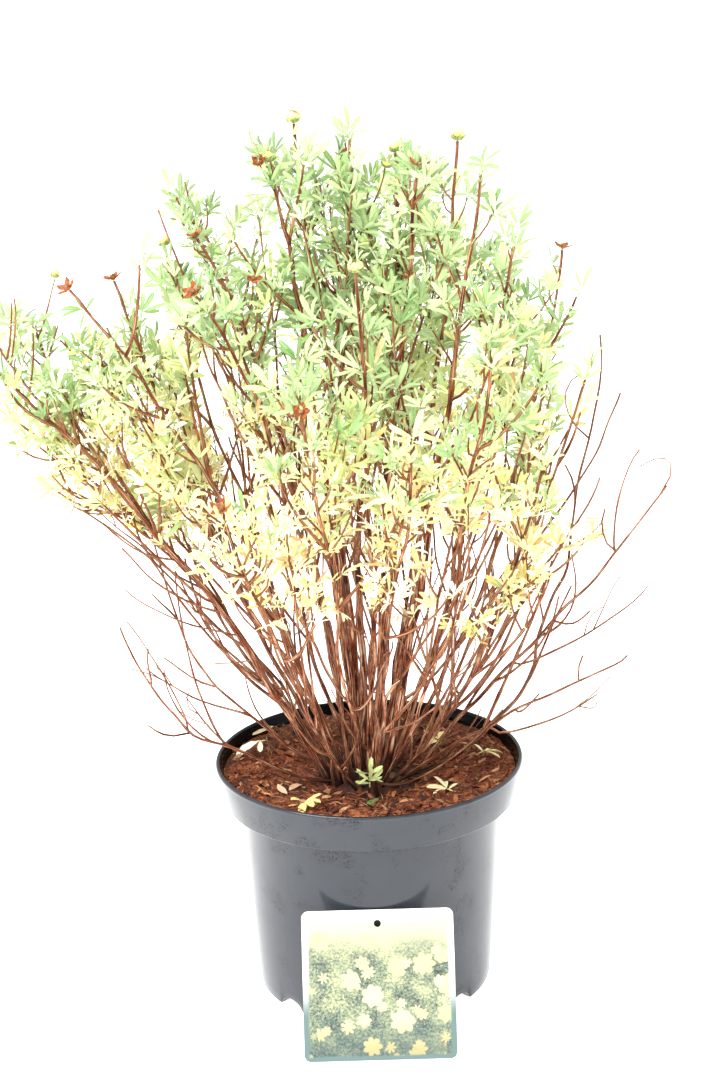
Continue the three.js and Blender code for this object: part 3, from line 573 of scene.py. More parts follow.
def scatter(count, inner, outer):
    """Places spread evenly over a ring: the radius is the root of an even draw between the squares."""
    radius = np.sqrt(rng.uniform(inner**2, outer**2, count))
    angle = rng.uniform(0, 2 * np.pi, count)
    return radius * np.cos(angle), radius * np.sin(angle)


def lying(x, y, angle, length, lift, bend, steps):
    """Paths on the soil: straight along an angle, bowed sideways by bend x sin(pi s), and lifted."""
    share = np.linspace(-0.5, 0.5, steps)
    bow = bend[:, None] * np.cos(np.pi * share)
    cos, sin = np.cos(angle)[:, None], np.sin(angle)[:, None]
    px = x[:, None] + share * length[:, None] * cos - bow * sin
    py = y[:, None] + share * length[:, None] * sin + bow * cos
    edge = INNER_RADIUS - 2.2 * MM
    px, py = np.array([px, py]) * edge / np.maximum(np.hypot(px, py), edge)
    return np.stack([px, py, soil_height(px, py) + 0.35 * crumbs(px, py) + lift], axis=-1)


def chips_grid():
    """Flat spindles on the soil: the width is length x share x form, and each is tipped by slope x length."""
    x, y = scatter(CHIPS, 20 * MM, 89 * MM)
    length = rng.uniform(2.5, 9, CHIPS) * MM
    paths = lying(x, y, rng.uniform(0, np.pi, CHIPS), length, rng.uniform(0.2, 1.5, (CHIPS, 1)) * MM,
                  rng.normal(0, 0.4, CHIPS) * MM, len(CHIP_FORM))
    paths[:, :, 2] += rng.normal(0, 0.22, (CHIPS, 1)) * np.linspace(-1, 1, len(CHIP_FORM)) * length[:, None]
    width = (rng.uniform(0.12, 0.3, CHIPS) * length)[:, None] * CHIP_FORM
    flat = unit(rng.normal(0, 0.45, (CHIPS, 3)) + [0, 0, 1])
    tone = rng.uniform(0, 1, (CHIPS, 3))
    return swept(paths, width, rng.uniform(0.25, 0.7, (CHIPS, 1)) * MM * CHIP_FORM, 4, flat, tone=tone)


def fibres_grid():
    """Thin threads on the soil, which rise in their middle by height x sin(pi s)."""
    x, y = scatter(FIBRES, 24 * MM, 89.5 * MM)
    length = rng.uniform(4, 16, FIBRES) * MM
    paths = lying(x, y, rng.uniform(0, np.pi, FIBRES), length, 0.4 * MM, rng.normal(0, 1.6, FIBRES) * MM,
                  FIBRE_STEPS)
    paths[:, :, 2] += rng.uniform(0.1, 1.8, (FIBRES, 1)) * MM * np.sin(np.pi * np.linspace(0, 1, FIBRE_STEPS))
    width = rng.uniform(0.16, 0.34, (FIBRES, 1)) * MM
    return swept(paths, width, 0.6 * width, 3, tone=rng.uniform(0, 1, (FIBRES, 3)))


def chip_material():
    """A brown for each chip by its tone, darker in the grain's hollows and in wide patches."""
    paint = Paint("bark_chips", Roughness=0.85)
    grain = paint.noise(700.0, 4.0)
    brown = paint.ramp(paint.tone()[0], (0.0, 44, 18, 9), (0.3, 104, 46, 22), (0.6, 150, 76, 40),
                       (0.85, 176, 108, 68), (1.0, 222, 174, 124))
    colour = paint.mix(paint.smooth(grain, 0.35, 0.7), paint.mix(0.4, brown, (40, 20, 12)), brown)
    colour = paint.mix(paint.smooth(paint.noise(34.0), 0.44, 0.66, 0.0, 0.5), colour, (48, 24, 12))
    return paint.finish(colour, grain, 0.2 * MM, 0.6)


chip_finish = chip_material()
print("chips", piece("bark_chips", [chips_grid()], chip_finish, sharp=30),
      "fibres", piece("soil_fibres", [fibres_grid()], chip_finish, sharp=80), "triangles")

# %% [markdown]
# ## The card
# The picture card is a thin plate with rounded corners and a hole to hang it by. It stands on its lower edge
# and leans on the pot. One grid covers it all: it starts round the hole, runs over the front to the outline,
# turns over the edge, and comes back over the rear, so that it closes on itself in both directions.

# %% Card surface
CARD_WIDTH, CARD_HEIGHT, CARD_THICKNESS, CARD_CORNER = 89 * MM, 86 * MM, 0.8 * MM, 4 * MM
CARD_LEAN, CARD_X, CARD_GAP = math.radians(22.6), 2 * MM, 0.4 * MM
CARD_HOLE_RADIUS, CARD_HOLE_DROP = 2.1 * MM, 8 * MM
CARD_EDGE = 0.12 * MM
CORNER_STEPS, SIDE_STEPS, FACE_RINGS = 9, 22, 13


def card_outline():
    """The rounded rectangle: four quarter circles, with straight sides cut into even steps."""
    half, top = CARD_WIDTH / 2 - CARD_CORNER, CARD_HEIGHT - CARD_CORNER
    turn = np.radians(np.linspace(0, 90, CORNER_STEPS))[:, None]
    arcs = []
    corners = (half, CARD_CORNER), (half, top), (-half, top), (-half, CARD_CORNER)
    for quarter, (x, y) in enumerate(corners, -1):
        angle = turn + math.radians(90 * quarter)
        arcs.append([x, y] + CARD_CORNER * np.hstack([np.cos(angle), np.sin(angle)]))
    share = np.linspace(0, 1, SIDE_STEPS)[1:-1, None]
    sides = [arc[-1] * (1 - share) + after[0] * share for arc, after in zip(arcs, arcs[1:] + arcs[:1])]
    return np.concatenate([row for pair in zip(arcs, sides) for row in pair])


def card_grid():
    """Rings from the hole to the outline on the front, over the edge, and back to the hole on the rear. The
    card leans back about its lower rear edge until its upper rear edge meets the wall of the pot."""
    outline = card_outline()
    centre = np.array([0, CARD_HEIGHT - CARD_HOLE_DROP])
    hole = centre + CARD_HOLE_RADIUS * unit(outline - centre)
    inset = outline + unit(centre - outline) * CARD_EDGE
    share = np.concatenate([[0], np.linspace(0.04, 1, FACE_RINGS - 1)])[:, None, None]
    front = hole + share * (inset - hole)
    x, up = np.moveaxis(np.concatenate([front, outline[None], outline[None], front[::-1]]), 2, 0)
    edge = [CARD_EDGE, CARD_THICKNESS - CARD_EDGE]
    depth = np.concatenate([np.zeros(FACE_RINGS), edge, np.full(FACE_RINGS, CARD_THICKNESS)])[:, None] + 0 * x
    cos, sin = math.cos(CARD_LEAN), math.sin(CARD_LEAN)
    wall = FOOT_RADIUS + (NECK_RADIUS - FOOT_RADIUS) * CARD_HEIGHT * cos / (BAND_BOTTOM - LEDGE)
    y = (depth - CARD_THICKNESS) * cos + (up - CARD_HEIGHT) * sin - wall - CARD_GAP
    points = np.stack([x + CARD_X, y, up * cos + (CARD_THICKNESS - depth) * sin], axis=-1)
    rows, around = x.shape
    here = np.arange(rows * around).reshape(rows, around)
    after, onward = np.roll(here, -1, axis=1), np.roll(here, -1, axis=0)
    quads = np.stack([here, after, np.roll(after, -1, axis=0), onward], axis=-1).reshape(-1, 4)
    uv = np.stack([x / CARD_WIDTH + 0.5, up / CARD_HEIGHT], axis=-1).reshape(-1, 2)
    rear = (depth > CARD_THICKNESS / 2).reshape(-1, 1)
    return {"points": points.reshape(-1, 3), "quads": quads, "triangles": np.zeros((0, 3), int), "uv": uv,
            "tone": np.repeat(rear, 4, axis=1).astype(float)}


print("the card's outline has", len(card_outline()), "points")

# %% [markdown]
# The card is printed. The print here is a plain one of its own: pale-yellow rosettes with seven lobes on
# mottled grey-green, which fades to cream at the top and turns blue-green at the foot, inside a soft border
# that is white above and grey-green below. Cells of a Voronoi texture place the rosettes: in each cell the
# angle round its middle sets the radius, r = size (0.76 + 0.24 |cos 3.5a|).

# %% Card print
# Cells to the card's width, shift, least size and its spread, for the small and the large rosettes
ROSETTES = [(6.2, (0.3, 0.2, 0), 0.20, 0.40), (8.2, (2.1, 1.3, 0), 0.10, 0.46)]


def rosettes(paint, scale, offset, least, spread):
    """How far a place lies inside a rosette and inside its heart, and a number of the rosette's own."""
    moved = paint.vector("ADD", paint.uv, offset)
    cell = paint.node("TexVoronoi", {"Vector": moved, "Scale": scale, "Randomness": 0.9}).outputs
    x, y, _ = paint.parts(paint.vector("SUBTRACT", moved, cell["Position"]))
    lobes = paint.math("ABSOLUTE", paint.math("COSINE", paint.times(paint.math("ARCTAN2", y, x), 3.5)))
    size, shade, _ = paint.node("SeparateColor", {"Color": cell["Color"]}).outputs
    radius = paint.times(paint.times(size, spread, least), paint.times(lobes, 0.24, 0.76))
    inside = paint.times(paint.math("SUBTRACT", radius, cell["Distance"]), 22.0, clamp=True)
    return inside, paint.times(cell["Distance"], -20.0, 1.4, clamp=True), shade


def card_print():
    """Ground, rosettes and border laid over each other, each mixed in by a smooth step of the card's own
    share across or up."""
    paint = Paint("printed_card", Roughness=0.32, **{"Coat Weight": 0.3})
    across, up, _ = paint.parts(paint.uv)
    mottle = paint.math("ADD", paint.noise(58.0, 7.0, 0.75, paint.uv), -0.25)
    green = paint.ramp(paint.times(paint.noise(6.0, 2.0, at=paint.uv), 0.5, mottle), (0.34, 48, 58, 54),
                       (0.45, 100, 114, 100), (0.55, 150, 158, 122), (0.66, 196, 194, 150))
    picture = paint.mix(paint.smooth(up, 0.38, 0.04), green, paint.mix(0.65, green, (62, 84, 86)))
    picture = paint.mix(paint.smooth(up, 0.66, 0.93), picture, (204, 202, 164))
    for row in ROSETTES:
        disc, heart, shade = rosettes(paint, *row)
        petal = paint.mix(shade, (196, 188, 138), (214, 208, 158))
        petal = paint.mix(paint.smooth(up, 0.30, 0.05), petal, (168, 158, 112))
        picture = paint.mix(disc, picture, paint.mix(heart, petal, (190, 160, 92)))
    aside = paint.math("ABSOLUTE", paint.math("SUBTRACT", across, 0.5))
    ends = paint.math("MAXIMUM", paint.smooth(up, 0.91, 0.97), paint.smooth(up, 0.040, 0.022))
    border = paint.math("MAXIMUM", paint.smooth(aside, 0.450, 0.476), ends)
    rim = paint.mix(paint.smooth(up, 0.62, 0.28), (246, 246, 244), (96, 118, 116))
    front = paint.mix(border, picture, rim)
    return paint.finish(paint.mix(paint.tone()[0], front, (226, 226, 222)), paint.noise(90.0, at=paint.uv),
                        0.02 * MM, 0.2)


print("card triangles", piece("picture_card", [card_grid()], card_print(), ["label_card"], sharp=30))

# %% [markdown]
# ## The stems
# The photograph shows where most stems end and how they lean, and those at the back are like those in front.
# These are the stems of the solid model: 31 with leaves, which end in a leaf, a half-open flower or a dry
# seed head, and six bare ones.

# %% The stems
STEM_FOOT, STEM_START = 0.12, 130 * MM
STEM_TIP_RADIUS = 0.8 * MM
BOWS = np.array([6, -6, 16, -16, 26, -26, 36, -36]) * MM
# Tip in millimetres, radius at the crown, sweep, and what the tip carries
LEAFY_STEMS = [
    ((-208, -40, 402), 2.4, -0.09, "leaf"), ((-204, 30, 352), 2.1, -0.12, "leaf"),
    ((-150, -90, 448), 2.2, -0.15, "seed"), ((-140, 10, 440), 2.2, 0.08, "seed"),
    ((-113, 45, 455), 2.2, 0.08, "flower"), ((-109, 90, 480), 2.2, -0.25, "leaf"),
    ((-84, -100, 445), 2.2, -0.2, "seed"), ((-88, -20, 466), 2.2, -0.2, "seed"),
    ((-46, 0, 505), 2.5, -0.15, "flower"), ((-33, 30, 525), 2.5, 0, "flower"),
    ((-1, 95, 512), 2.5, 0.05, "leaf"), ((36, -30, 502), 2.5, -0.15, "seed"),
    ((26, 60, 505), 2.4, 0.05, "flower"), ((39, 110, 470), 2.2, 0.08, "leaf"),
    ((62, 40, 512), 2.5, 0.06, "flower"), ((68, -60, 500), 2.5, 0.1, "leaf"),
    ((66, 140, 450), 2.0, 0.08, "flower"), ((92, 0, 460), 2.2, 0.12, "leaf"),
    ((126, 60, 445), 2.2, 0.16, "seed"), ((130, -20, 380), 2.0, 0.16, "leaf"),
    ((66, -150, 420), 2.1, 0.1, "leaf"), ((-30, 160, 420), 2.1, 0.08, "seed"),
    ((100, 130, 400), 2.0, 0.12, "leaf"), ((-80, 150, 395), 2.0, 0.08, "leaf"),
    ((-140, 100, 380), 2.0, 0.08, "leaf"), ((-30, -150, 400), 2.1, 0.1, "leaf"),
    ((25, -170, 375), 2.0, 0.1, "leaf"), ((-70, -165, 345), 2.0, 0.08, "seed"),
    ((0, -110, 455), 2.2, 0.12, "flower"), ((95, -115, 350), 2.0, 0.14, "leaf"),
    ((20, 185, 355), 2.0, 0.08, "leaf"),
]
BARE_STEMS = [
    ((-165, -20, 312), 1.5, -0.1), ((-130, 30, 282), 1.4, 0.35), ((-143, -40, 245), 1.4, 0.3),
    ((141, 0, 402), 1.8, 0.42), ((176, -30, 318), 1.8, 0.04), ((150, -60, 226), 1.6, 0.0),
]
FIRST_BARE = 50
print(len(LEAFY_STEMS), "leafy and", len(BARE_STEMS), "bare stems")

# %% [markdown]
# A stem is a quadratic curve from the crown to its tip: start (1-t)² + middle 2t(1-t) + end t². Where two
# stems would cross, the solid model bows one of them aside. Which of its tries was kept can be read from the
# frame: each try is compared with the corners of the solid, and the one that lies on them is taken.

# %% Curves


def on_curve(curve, share):
    """Points of a quadratic curve, given as its three points."""
    share = np.asarray(share, float)[..., None]
    start, middle, end = curve
    return (1 - share) ** 2 * start + 2 * share * (1 - share) * middle + share**2 * end


def direction(curve, share):
    """The unit tangent: 2(1-t)(middle - start) + 2t(end - middle)."""
    start, middle, end = curve
    share = np.asarray(share, float)[..., None]
    return unit((1 - share) * (middle - start) + share * (end - middle))


def node_points(name):
    """The corners of a solid of the frame."""
    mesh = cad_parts[name].data
    points = np.empty(len(mesh.vertices) * 3, np.float32)
    mesh.vertices.foreach_get("co", points)
    return points.reshape(-1, 3).astype(float)


def nearest_try(tries, marks, solid, limit=np.inf):
    """The try whose marks lie on the solid: the mean distance from them to its nearest corners is least. It
    is None if even that is past the limit, because the solid model found no room there."""
    gaps = np.linalg.norm(np.asarray(marks)[:, :, None] - solid, axis=-1).min(axis=2).mean(axis=1)
    best = int(np.argmin(gaps))
    return tries[best] if gaps[best] < limit else None


def fitted_stem(number, tip, sweep, solid, shares):
    """A stem's curve, out of those that the solid model tries in its order."""
    end = np.array(tip) * MM
    start = np.array([end[0] * STEM_FOOT, end[1] * STEM_FOOT, STEM_START])
    across = unit(np.array([-end[1], end[0], 0.0])) * (1 if draw(number, 1, 1) < 0.5 else -1)
    share = np.array([0.5 + sweep, 0.5 + sweep, 0.5 - sweep])
    tries = [(start, start + (end - start) * share + across * bow, end) for bow in BOWS]
    return nearest_try(tries, [on_curve(curve, shares) for curve in tries], solid)


wood_solid = node_points("woody_framework")
leafy, bare = [], []
for number, (tip, radius, sweep, head) in enumerate(LEAFY_STEMS, 1):
    name = f"leafy_stem_{number:02d}"
    solid = node_points(name)
    leafy.append({"number": number, "name": name, "solid": solid, "head": head, "radius": radius * MM,
                  "curve": fitted_stem(number, tip, sweep, solid, [0.75])})
for number, (tip, radius, sweep) in enumerate(BARE_STEMS, FIRST_BARE):
    bare.append({"number": number, "radius": radius * MM,
                 "curve": fitted_stem(number, tip, sweep, wood_solid, [1 / 3, 1 / 2, 2 / 3])})
print("middle of the first stem in mm", np.round(on_curve(leafy[0]["curve"], 0.5) / MM))

# %% [markdown]
# Side shoots leave a stem at a slant and turn upwards, and a leaf leans away from its twig with its face
# towards the tip. Both are worked out from the tangent of the twig and a turn about it.

# %% A shoot and a leaf on a twig
SHOOT_LENGTH, SHOOT_LEAN = 72 * MM, math.radians(46)


def aside_of(tangent, least, turn):
    """A vector square to a unit tangent v, turned about it: s cos + (v x s) sin."""
    side = unit(np.cross(least, tangent))
    return side * math.cos(turn) + np.cross(tangent, side) * math.sin(turn)


def shoot_curve(stem, share, turn, length, lean=SHOOT_LEAN):
    """A side shoot: it leaves its stem at a slant, and turns upwards over its last third."""
    start, tangent = on_curve(stem, share), direction(stem, share)
    way = tangent * math.cos(lean) + aside_of(tangent, [0, 1, 0], turn) * math.sin(lean)
    middle = start + way * length / 2
    return start, middle, middle + way * length / 4 + np.array([0, 0, length / 4])


def leaf_frame(curve, share, turn, slant):
    """Root, along and face of a leaf that leans away from its twig by a slant, to the side of a turn."""
    tangent = direction(curve, share)
    side = aside_of(tangent, [0.3, 1, 0.1], turn)
    along = tangent * math.cos(slant) + side * math.sin(slant)
    face = tangent * math.sin(slant) - side * math.cos(slant) + 0.3 * tangent
    return on_curve(curve, share), along, unit(face - along * face.dot(along))


print("a shoot ends in mm at", np.round(shoot_curve(leafy[0]["curve"], 0.6, 0, SHOOT_LENGTH)[2] / MM))

# %% [markdown]
# Along a stem, shoots and leaves follow each other at the golden angle, as on most shrubs. The solid model
# turns each of them on until it is clear of its neighbours. Its tries are compared with the solid in the same
# way as those of the stems, so that every shoot and leaf here grows where the solid has it.

# %% Shoots and leaves of the solid model
GOLDEN_ANGLE = math.radians(137.5)
SHOOTS, FIRST_SHOOT, LAST_SHOOT = 3, 0.57, 0.84
SHOOT_TRIES, SHOOT_STEP, SHOOT_MISFIT = 9, math.radians(40), 1.4 * MM
LEAF_TRIES, LEAF_STEP, LEAF_MISFIT = 12, math.radians(32), 0.4 * MM
BARE_TWIGS, BARE_TWIG_LENGTH = (0.55, 0.78), 48 * MM
LEAF_SHARES = {"leaf": (0.7,), "flower": (0.7, 0.94), "seed": (0.7, 0.94)}
PETIOLE, TERMINAL_LEAFLET, HALF_HUB = 6 * MM, 14.5 * MM, 0.7 * MM


def fitted_shoot(stem, share, turn, length, solid):
    """The try whose middle and end lie on the solid."""
    tries = [shoot_curve(stem, share, turn + step * SHOOT_STEP, length) for step in range(SHOOT_TRIES)]
    return nearest_try(tries, [on_curve(curve, [0.5, 1.0]) for curve in tries], solid, SHOOT_MISFIT)


def fitted_leaf(curve, share, turn, slant, size, solid):
    """The try whose hub and tip lie on the solid: root + petiole + half hub, and root + petiole + leaflet."""
    tries = [(*leaf_frame(curve, share, turn + step * LEAF_STEP, slant), size) for step in range(LEAF_TRIES)]
    marks = [[root + along * size * PETIOLE + face * HALF_HUB,
              root + along * size * (PETIOLE + TERMINAL_LEAFLET)] for root, along, face, _ in tries]
    return nearest_try(tries, marks, solid, LEAF_MISFIT)


def solid_growth(stem):
    """The shoots of a leafy stem, and all its leaves, as the solid model has them."""
    number, curve, solid = stem["number"], stem["curve"], stem["solid"]
    turn = 2 * math.pi * draw(number, 6, 0)
    leaves, shoots = [], []
    if stem["head"] == "leaf":
        leaves.append(fitted_leaf(curve, 1, turn + math.pi, 0.35, 1.05, solid))
    for place, share in enumerate(np.linspace(FIRST_SHOOT, LAST_SHOOT, SHOOTS)):
        length = SHOOT_LENGTH * (1.45 - share) * (0.8 + 0.5 * draw(number, 7, place))
        way = place * GOLDEN_ANGLE + 2 * math.pi * draw(number, 8, 0)
        shoot = fitted_shoot(curve, share, way, length, solid)
        if shoot is not None:
            shoots.append((shoot, share))
            size = 0.9 + 0.2 * draw(number, 9, place)
            leaves.append(fitted_leaf(shoot, 1, way + place, 0.5, size, solid))
    for place, share in enumerate(LEAF_SHARES[stem["head"]]):
        size = 0.9 + 0.2 * draw(number, 5, place)
        leaves.append(fitted_leaf(curve, share, turn + place * GOLDEN_ANGLE, 0.9, size, solid))
    return shoots, [leaf for leaf in leaves if leaf is not None]


def bare_growth(stem):
    """The twigs of a bare stem, as the solid model has them."""
    twigs = []
    for place, share in enumerate(BARE_TWIGS):
        length = BARE_TWIG_LENGTH * (1.4 - share) * (0.8 + 0.4 * draw(stem["number"], 2, place))
        way = 2 * math.pi * draw(stem["number"], 3, place)
        twigs.append((fitted_shoot(stem["curve"], share, way, length, wood_solid), share))
    return [(twig, share) for twig, share in twigs if twig is not None]


def total(stems, kind):
    """How many of a kind all stems have."""
    return sum(len(stem[kind]) for stem in stems)


for stem in leafy:
    stem["shoots"], stem["leaves"] = solid_growth(stem)
for stem in bare:
    stem["shoots"] = bare_growth(stem)
print("in the frame:", total(leafy, "shoots"), "shoots,", total(leafy, "leaves"), "leaves,",
      total(bare, "shoots"), "bare twigs")

# %% [markdown]
# ## Twigs that bend
# No stem is as smooth as its curve. Noise moves its points aside, and whatever grows on it moves along: each
# twig knows its parent, and the shift at its root fades out over its length as (1-t)².

# %% Bends
# Depth and length of the slow and the fast bends, and the step of their seed from one axis to the next
BENDS = [(3.0 * MM, 62 * MM, 0.37), (1.5 * MM, 24 * MM, 0.71)]


def new_twig(curve, seed, parent=None, share=0.0, bend=1.0):
    """A twig on its curve, grown from a share of its parent's length."""
    root = bent(parent, share) - on_curve(parent["curve"], share) if parent else np.zeros(3)
    steps = np.diff(on_curve(curve, np.linspace(0, 1, 9)), axis=0)
    length = float(np.linalg.norm(steps, axis=1).sum())
    return {"curve": curve, "seed": seed, "bend": bend, "length": length, "root": root}


def bent(twig, share):
    """Points of a twig with its bends: slow and fast noise in three directions, none at either end."""
    share = np.asarray(share, float)
    fade = np.sqrt(np.clip(np.sin(np.pi * share), 0, 1))
    away = share * twig["length"]
    shift = [sum(depth * noise(away / length, np.full(share.shape, twig["seed"] + step * axis), axis)
                 for depth, length, step in BENDS) for axis in range(3)]
    return (on_curve(twig["curve"], share) + np.stack(shift, axis=-1) * (twig["bend"] * fade)[..., None]
            + twig["root"] * ((1 - share) ** 2)[..., None])


for stem in leafy:
    stem["twig"] = new_twig(stem["curve"], stem["number"])
for stem in bare:
    stem["twig"] = new_twig(stem["curve"], stem["number"], bend=2.0)
print("longest stem in mm", round(max(stem["twig"]["length"] for stem in leafy) / MM))

# %% [markdown]
# ## The outline of the leafage
# A rule alone would give a round bush. The real one has a ragged outline with two gaps, through which the
# background shows. Both are drawn here as the camera sees them, with points on the plane through the crown,
# and every added shoot and leaf is tested against them along its line of sight.

# %% Outline and gaps
# x and z in millimetres on the plane y = 0
LEAFAGE_OUTLINE = np.array([
    (-205, 425), (-180, 420), (-175, 405), (-160, 415), (-135, 415), (-125, 420), (-120, 450), (-110, 460),
    (-105, 445), (-95, 450), (-95, 470), (-105, 485), (-105, 495), (-85, 505), (-80, 490), (-60, 495),
    (-55, 510), (-40, 535), (-25, 535), (-15, 530), (0, 525), (10, 505), (20, 515), (40, 510), (55, 520),
    (70, 510), (80, 495), (90, 480), (110, 465), (120, 445), (110, 425), (135, 410), (135, 380), (120, 365),
    (110, 340), (110, 310), (150, 285), (150, 265), (120, 265), (100, 240), (95, 200), (65, 185), (40, 230),
    (-40, 235), (-80, 245), (-110, 270), (-140, 300), (-190, 315), (-215, 345), (-220, 385),
]) * MM
# The gaps at the left of the middle and low on the right
LEAFAGE_GAPS = [np.array(gap) * MM for gap in (
    [(-90, 405), (-75, 410), (-70, 385), (-75, 365), (-65, 340), (-60, 295), (-75, 295), (-85, 335),
     (-95, 355), (-100, 380)],
    [(40, 285), (85, 290), (90, 265), (75, 240), (45, 235), (35, 260)],
)]


def seen_in(point, outline):
    """The line of sight meets the plane y = 0 at eye + (point - eye) times eye y / (eye y - point y). It is
    inside if a line to its right crosses the outline an odd number of times."""
    eye = np.array(CAMERA_PLACE)
    x, _, z = eye + (point - eye) * eye[1] / (eye[1] - point[1])
    (x0, z0), (x1, z1) = outline.T, np.roll(outline, -1, axis=0).T
    crossed = x0 + (x1 - x0) * (z - z0) / np.where(z1 == z0, MM, z1 - z0)
    return np.count_nonzero(((z0 > z) != (z1 > z)) & (x < crossed)) % 2 == 1


def in_leafage(point):
    """True if a point shows inside the outline and in none of its gaps."""
    return seen_in(point, LEAFAGE_OUTLINE) and not any(seen_in(point, gap) for gap in LEAFAGE_GAPS)


print("corners of the outline:", len(LEAFAGE_OUTLINE), "and of the gaps:", sum(map(len, LEAFAGE_GAPS)))

# %% [markdown]
# ## More twigs
# The solid model has room for three shoots on a stem. The real shrub has many more, and most of its stems
# fork. They are added here by the same curves, with draws from the seeded generator. What would reach out of
# the solid's box is turned about its stem and tried again, so that the shrub keeps its size.

# %% Forks and added shoots
FORKS, FORK_LEAN, FORK_MARGIN, FORK_BULGE = 2, math.radians(20), 12 * MM, 0.16
ADDED_SHOOTS, ADDED_LEAN, SHOOT_MARGIN = 8, math.radians(42), 10 * MM
TIP_SHOOTS, TIP_MARGIN = 4, 8 * MM
ADDED_TRIES, SHORTENING = 8, 0.9
WIDE_SIDE = -100 * MM
# Leafy tips that stand out, in millimetres, and where on its length the nearest stem forks towards them
FORK_TIPS = [
    (-182, -20, 420, 0.7), (-200, -40, 412, 0.8), (-172, 0, 408, 0.6), (-190, 0, 346, 0.7),
    (-178, -10, 322, 0.6), (-120, 40, 400, 0.5), (-20, 60, 492, 0.5), (0, 20, 500, 0.5), (52, 60, 450, 0.5),
    (50, -20, 460, 0.5), (88, 60, 440, 0.5), (100, 20, 420, 0.5), (104, -30, 385, 0.4), (100, -30, 305, 0.2),
    (90, -40, 290, 0.15), (112, -10, 330, 0.3), (75, -70, 300, 0.2), (60, -40, 330, 0.2),
    (-147, -20, 402, 0.6), (-142, -20, 376, 0.5), (-160, -20, 372, 0.55), (-30, -60, 300, 0.3),
    (10, -60, 290, 0.3), (-110, 0, 310, 0.4), (-60, -60, 280, 0.3),
]


def fits(points, margin):
    """True if the points keep that far inside the solid's box."""
    return bool(np.all(points > LOW_CORNER + margin) and np.all(points < HIGH_CORNER - margin))


def added_shoots(parent, share, length, lean, margin, bend=0.5):
    """One shoot of a twig, at a random turn that fits the box, or none. It shortens from try to try."""
    for _ in range(ADDED_TRIES):
        curve = shoot_curve(parent["curve"], share, rng.uniform(0, 2 * math.pi), length, lean)
        if fits(on_curve(curve, [0.5, 1.0]), margin):
            return [new_twig(curve, int(rng.integers(900)), parent, share, bend)]
        length *= SHORTENING
    return []


def added_growth(stem):
    """Forks low on a leafy stem, then shoots along it and along its forks, with more of both at the left."""
    (_, _, foot), _, tip = stem["curve"]
    wide = tip[0] < WIDE_SIDE
    forks, shoots = [], []
    for _ in range(FORKS + wide):
        share = rng.uniform(0.25, 0.58)
        length = (tip[2] - foot) * (0.98 - share) * rng.uniform(0.7, 0.95)
        forks += added_shoots(stem["twig"], share, length, FORK_LEAN, FORK_MARGIN, 1.0)
    for _ in range(ADDED_SHOOTS + 3 * wide):
        share = rng.uniform(0.42, 0.98) if rng.uniform() < 0.5 else rng.uniform(0.75, 0.98)
        length = SHOOT_LENGTH * (1.3 - share) * rng.uniform(0.4, 0.9)
        shoots += added_shoots(stem["twig"], share, length, ADDED_LEAN, SHOOT_MARGIN)
    for fork in forks:
        for share in rng.uniform(0.35, 0.9, 3):
            length = SHOOT_LENGTH * rng.uniform(0.3, 0.6)
            shoots += added_shoots(fork, share, length, ADDED_LEAN, SHOOT_MARGIN)
    return forks, [shoot for shoot in shoots if in_leafage(shoot["curve"][2])]


def tip_fork(x, y, z, share):
    """The stem whose end is nearest to a tip, and a fork that leaves it at a share of its length, keeps its
    direction at first, and bends to the tip."""
    end = np.array([x, y, z]) * MM
    stem = min(leafy, key=lambda stem: np.linalg.norm(stem["curve"][2] - end))
    start, way = on_curve(stem["curve"], share), direction(stem["curve"], share)
    middle = start + (end - start) * 0.5 + FORK_BULGE * np.linalg.norm(end - start) * way
    return stem, new_twig((start, middle, end), int(rng.integers(900)), stem["twig"], share, 1.0)


for stem in leafy:
    stem["side"] = [new_twig(shoot, stem["number"] + 31 * index, stem["twig"], share, 0.4)
                    for index, (shoot, share) in enumerate(stem["shoots"])]
    stem["forks"], stem["added"] = added_growth(stem)
for tip in FORK_TIPS:
    stem, fork = tip_fork(*tip)
    stem["forks"].append(fork)
    for share in rng.uniform(0.45, 0.95, TIP_SHOOTS):
        length = SHOOT_LENGTH * rng.uniform(0.3, 0.55)
        stem["added"] += added_shoots(fork, share, length, ADDED_LEAN, TIP_MARGIN)
print("added", total(leafy, "forks"), "forks and", total(leafy, "added"), "shoots")

# %% [markdown]
# ## More leaves
# Every twig carries tufts of leaves on short spurs. Low down and inside the shrub they are small and few, and
# at the left, where the outer stems are bare, they start higher.

# %% Tufts of leaves
LEAF_REACH, LEAF_ROLL, LEAF_OUTSIDE = 20 * MM, 0.55, 3 * MM
TUFT_SPACING, TUFT_ODDS = 15 * MM, [0.45, 0.38, 0.17]
LOWEST_LEAF, FULL_LEAF = 205 * MM, 330 * MM
LEFT_START, LEFT_RISE = -70 * MM, 0.75
# For each kind of twig: where its leaves start, and the tufts' spacing as a share
LEAFY_PARTS = {"forks": (0.45, 1.1), "side": (0.15, 1.0), "added": (0.15, 1.0)}


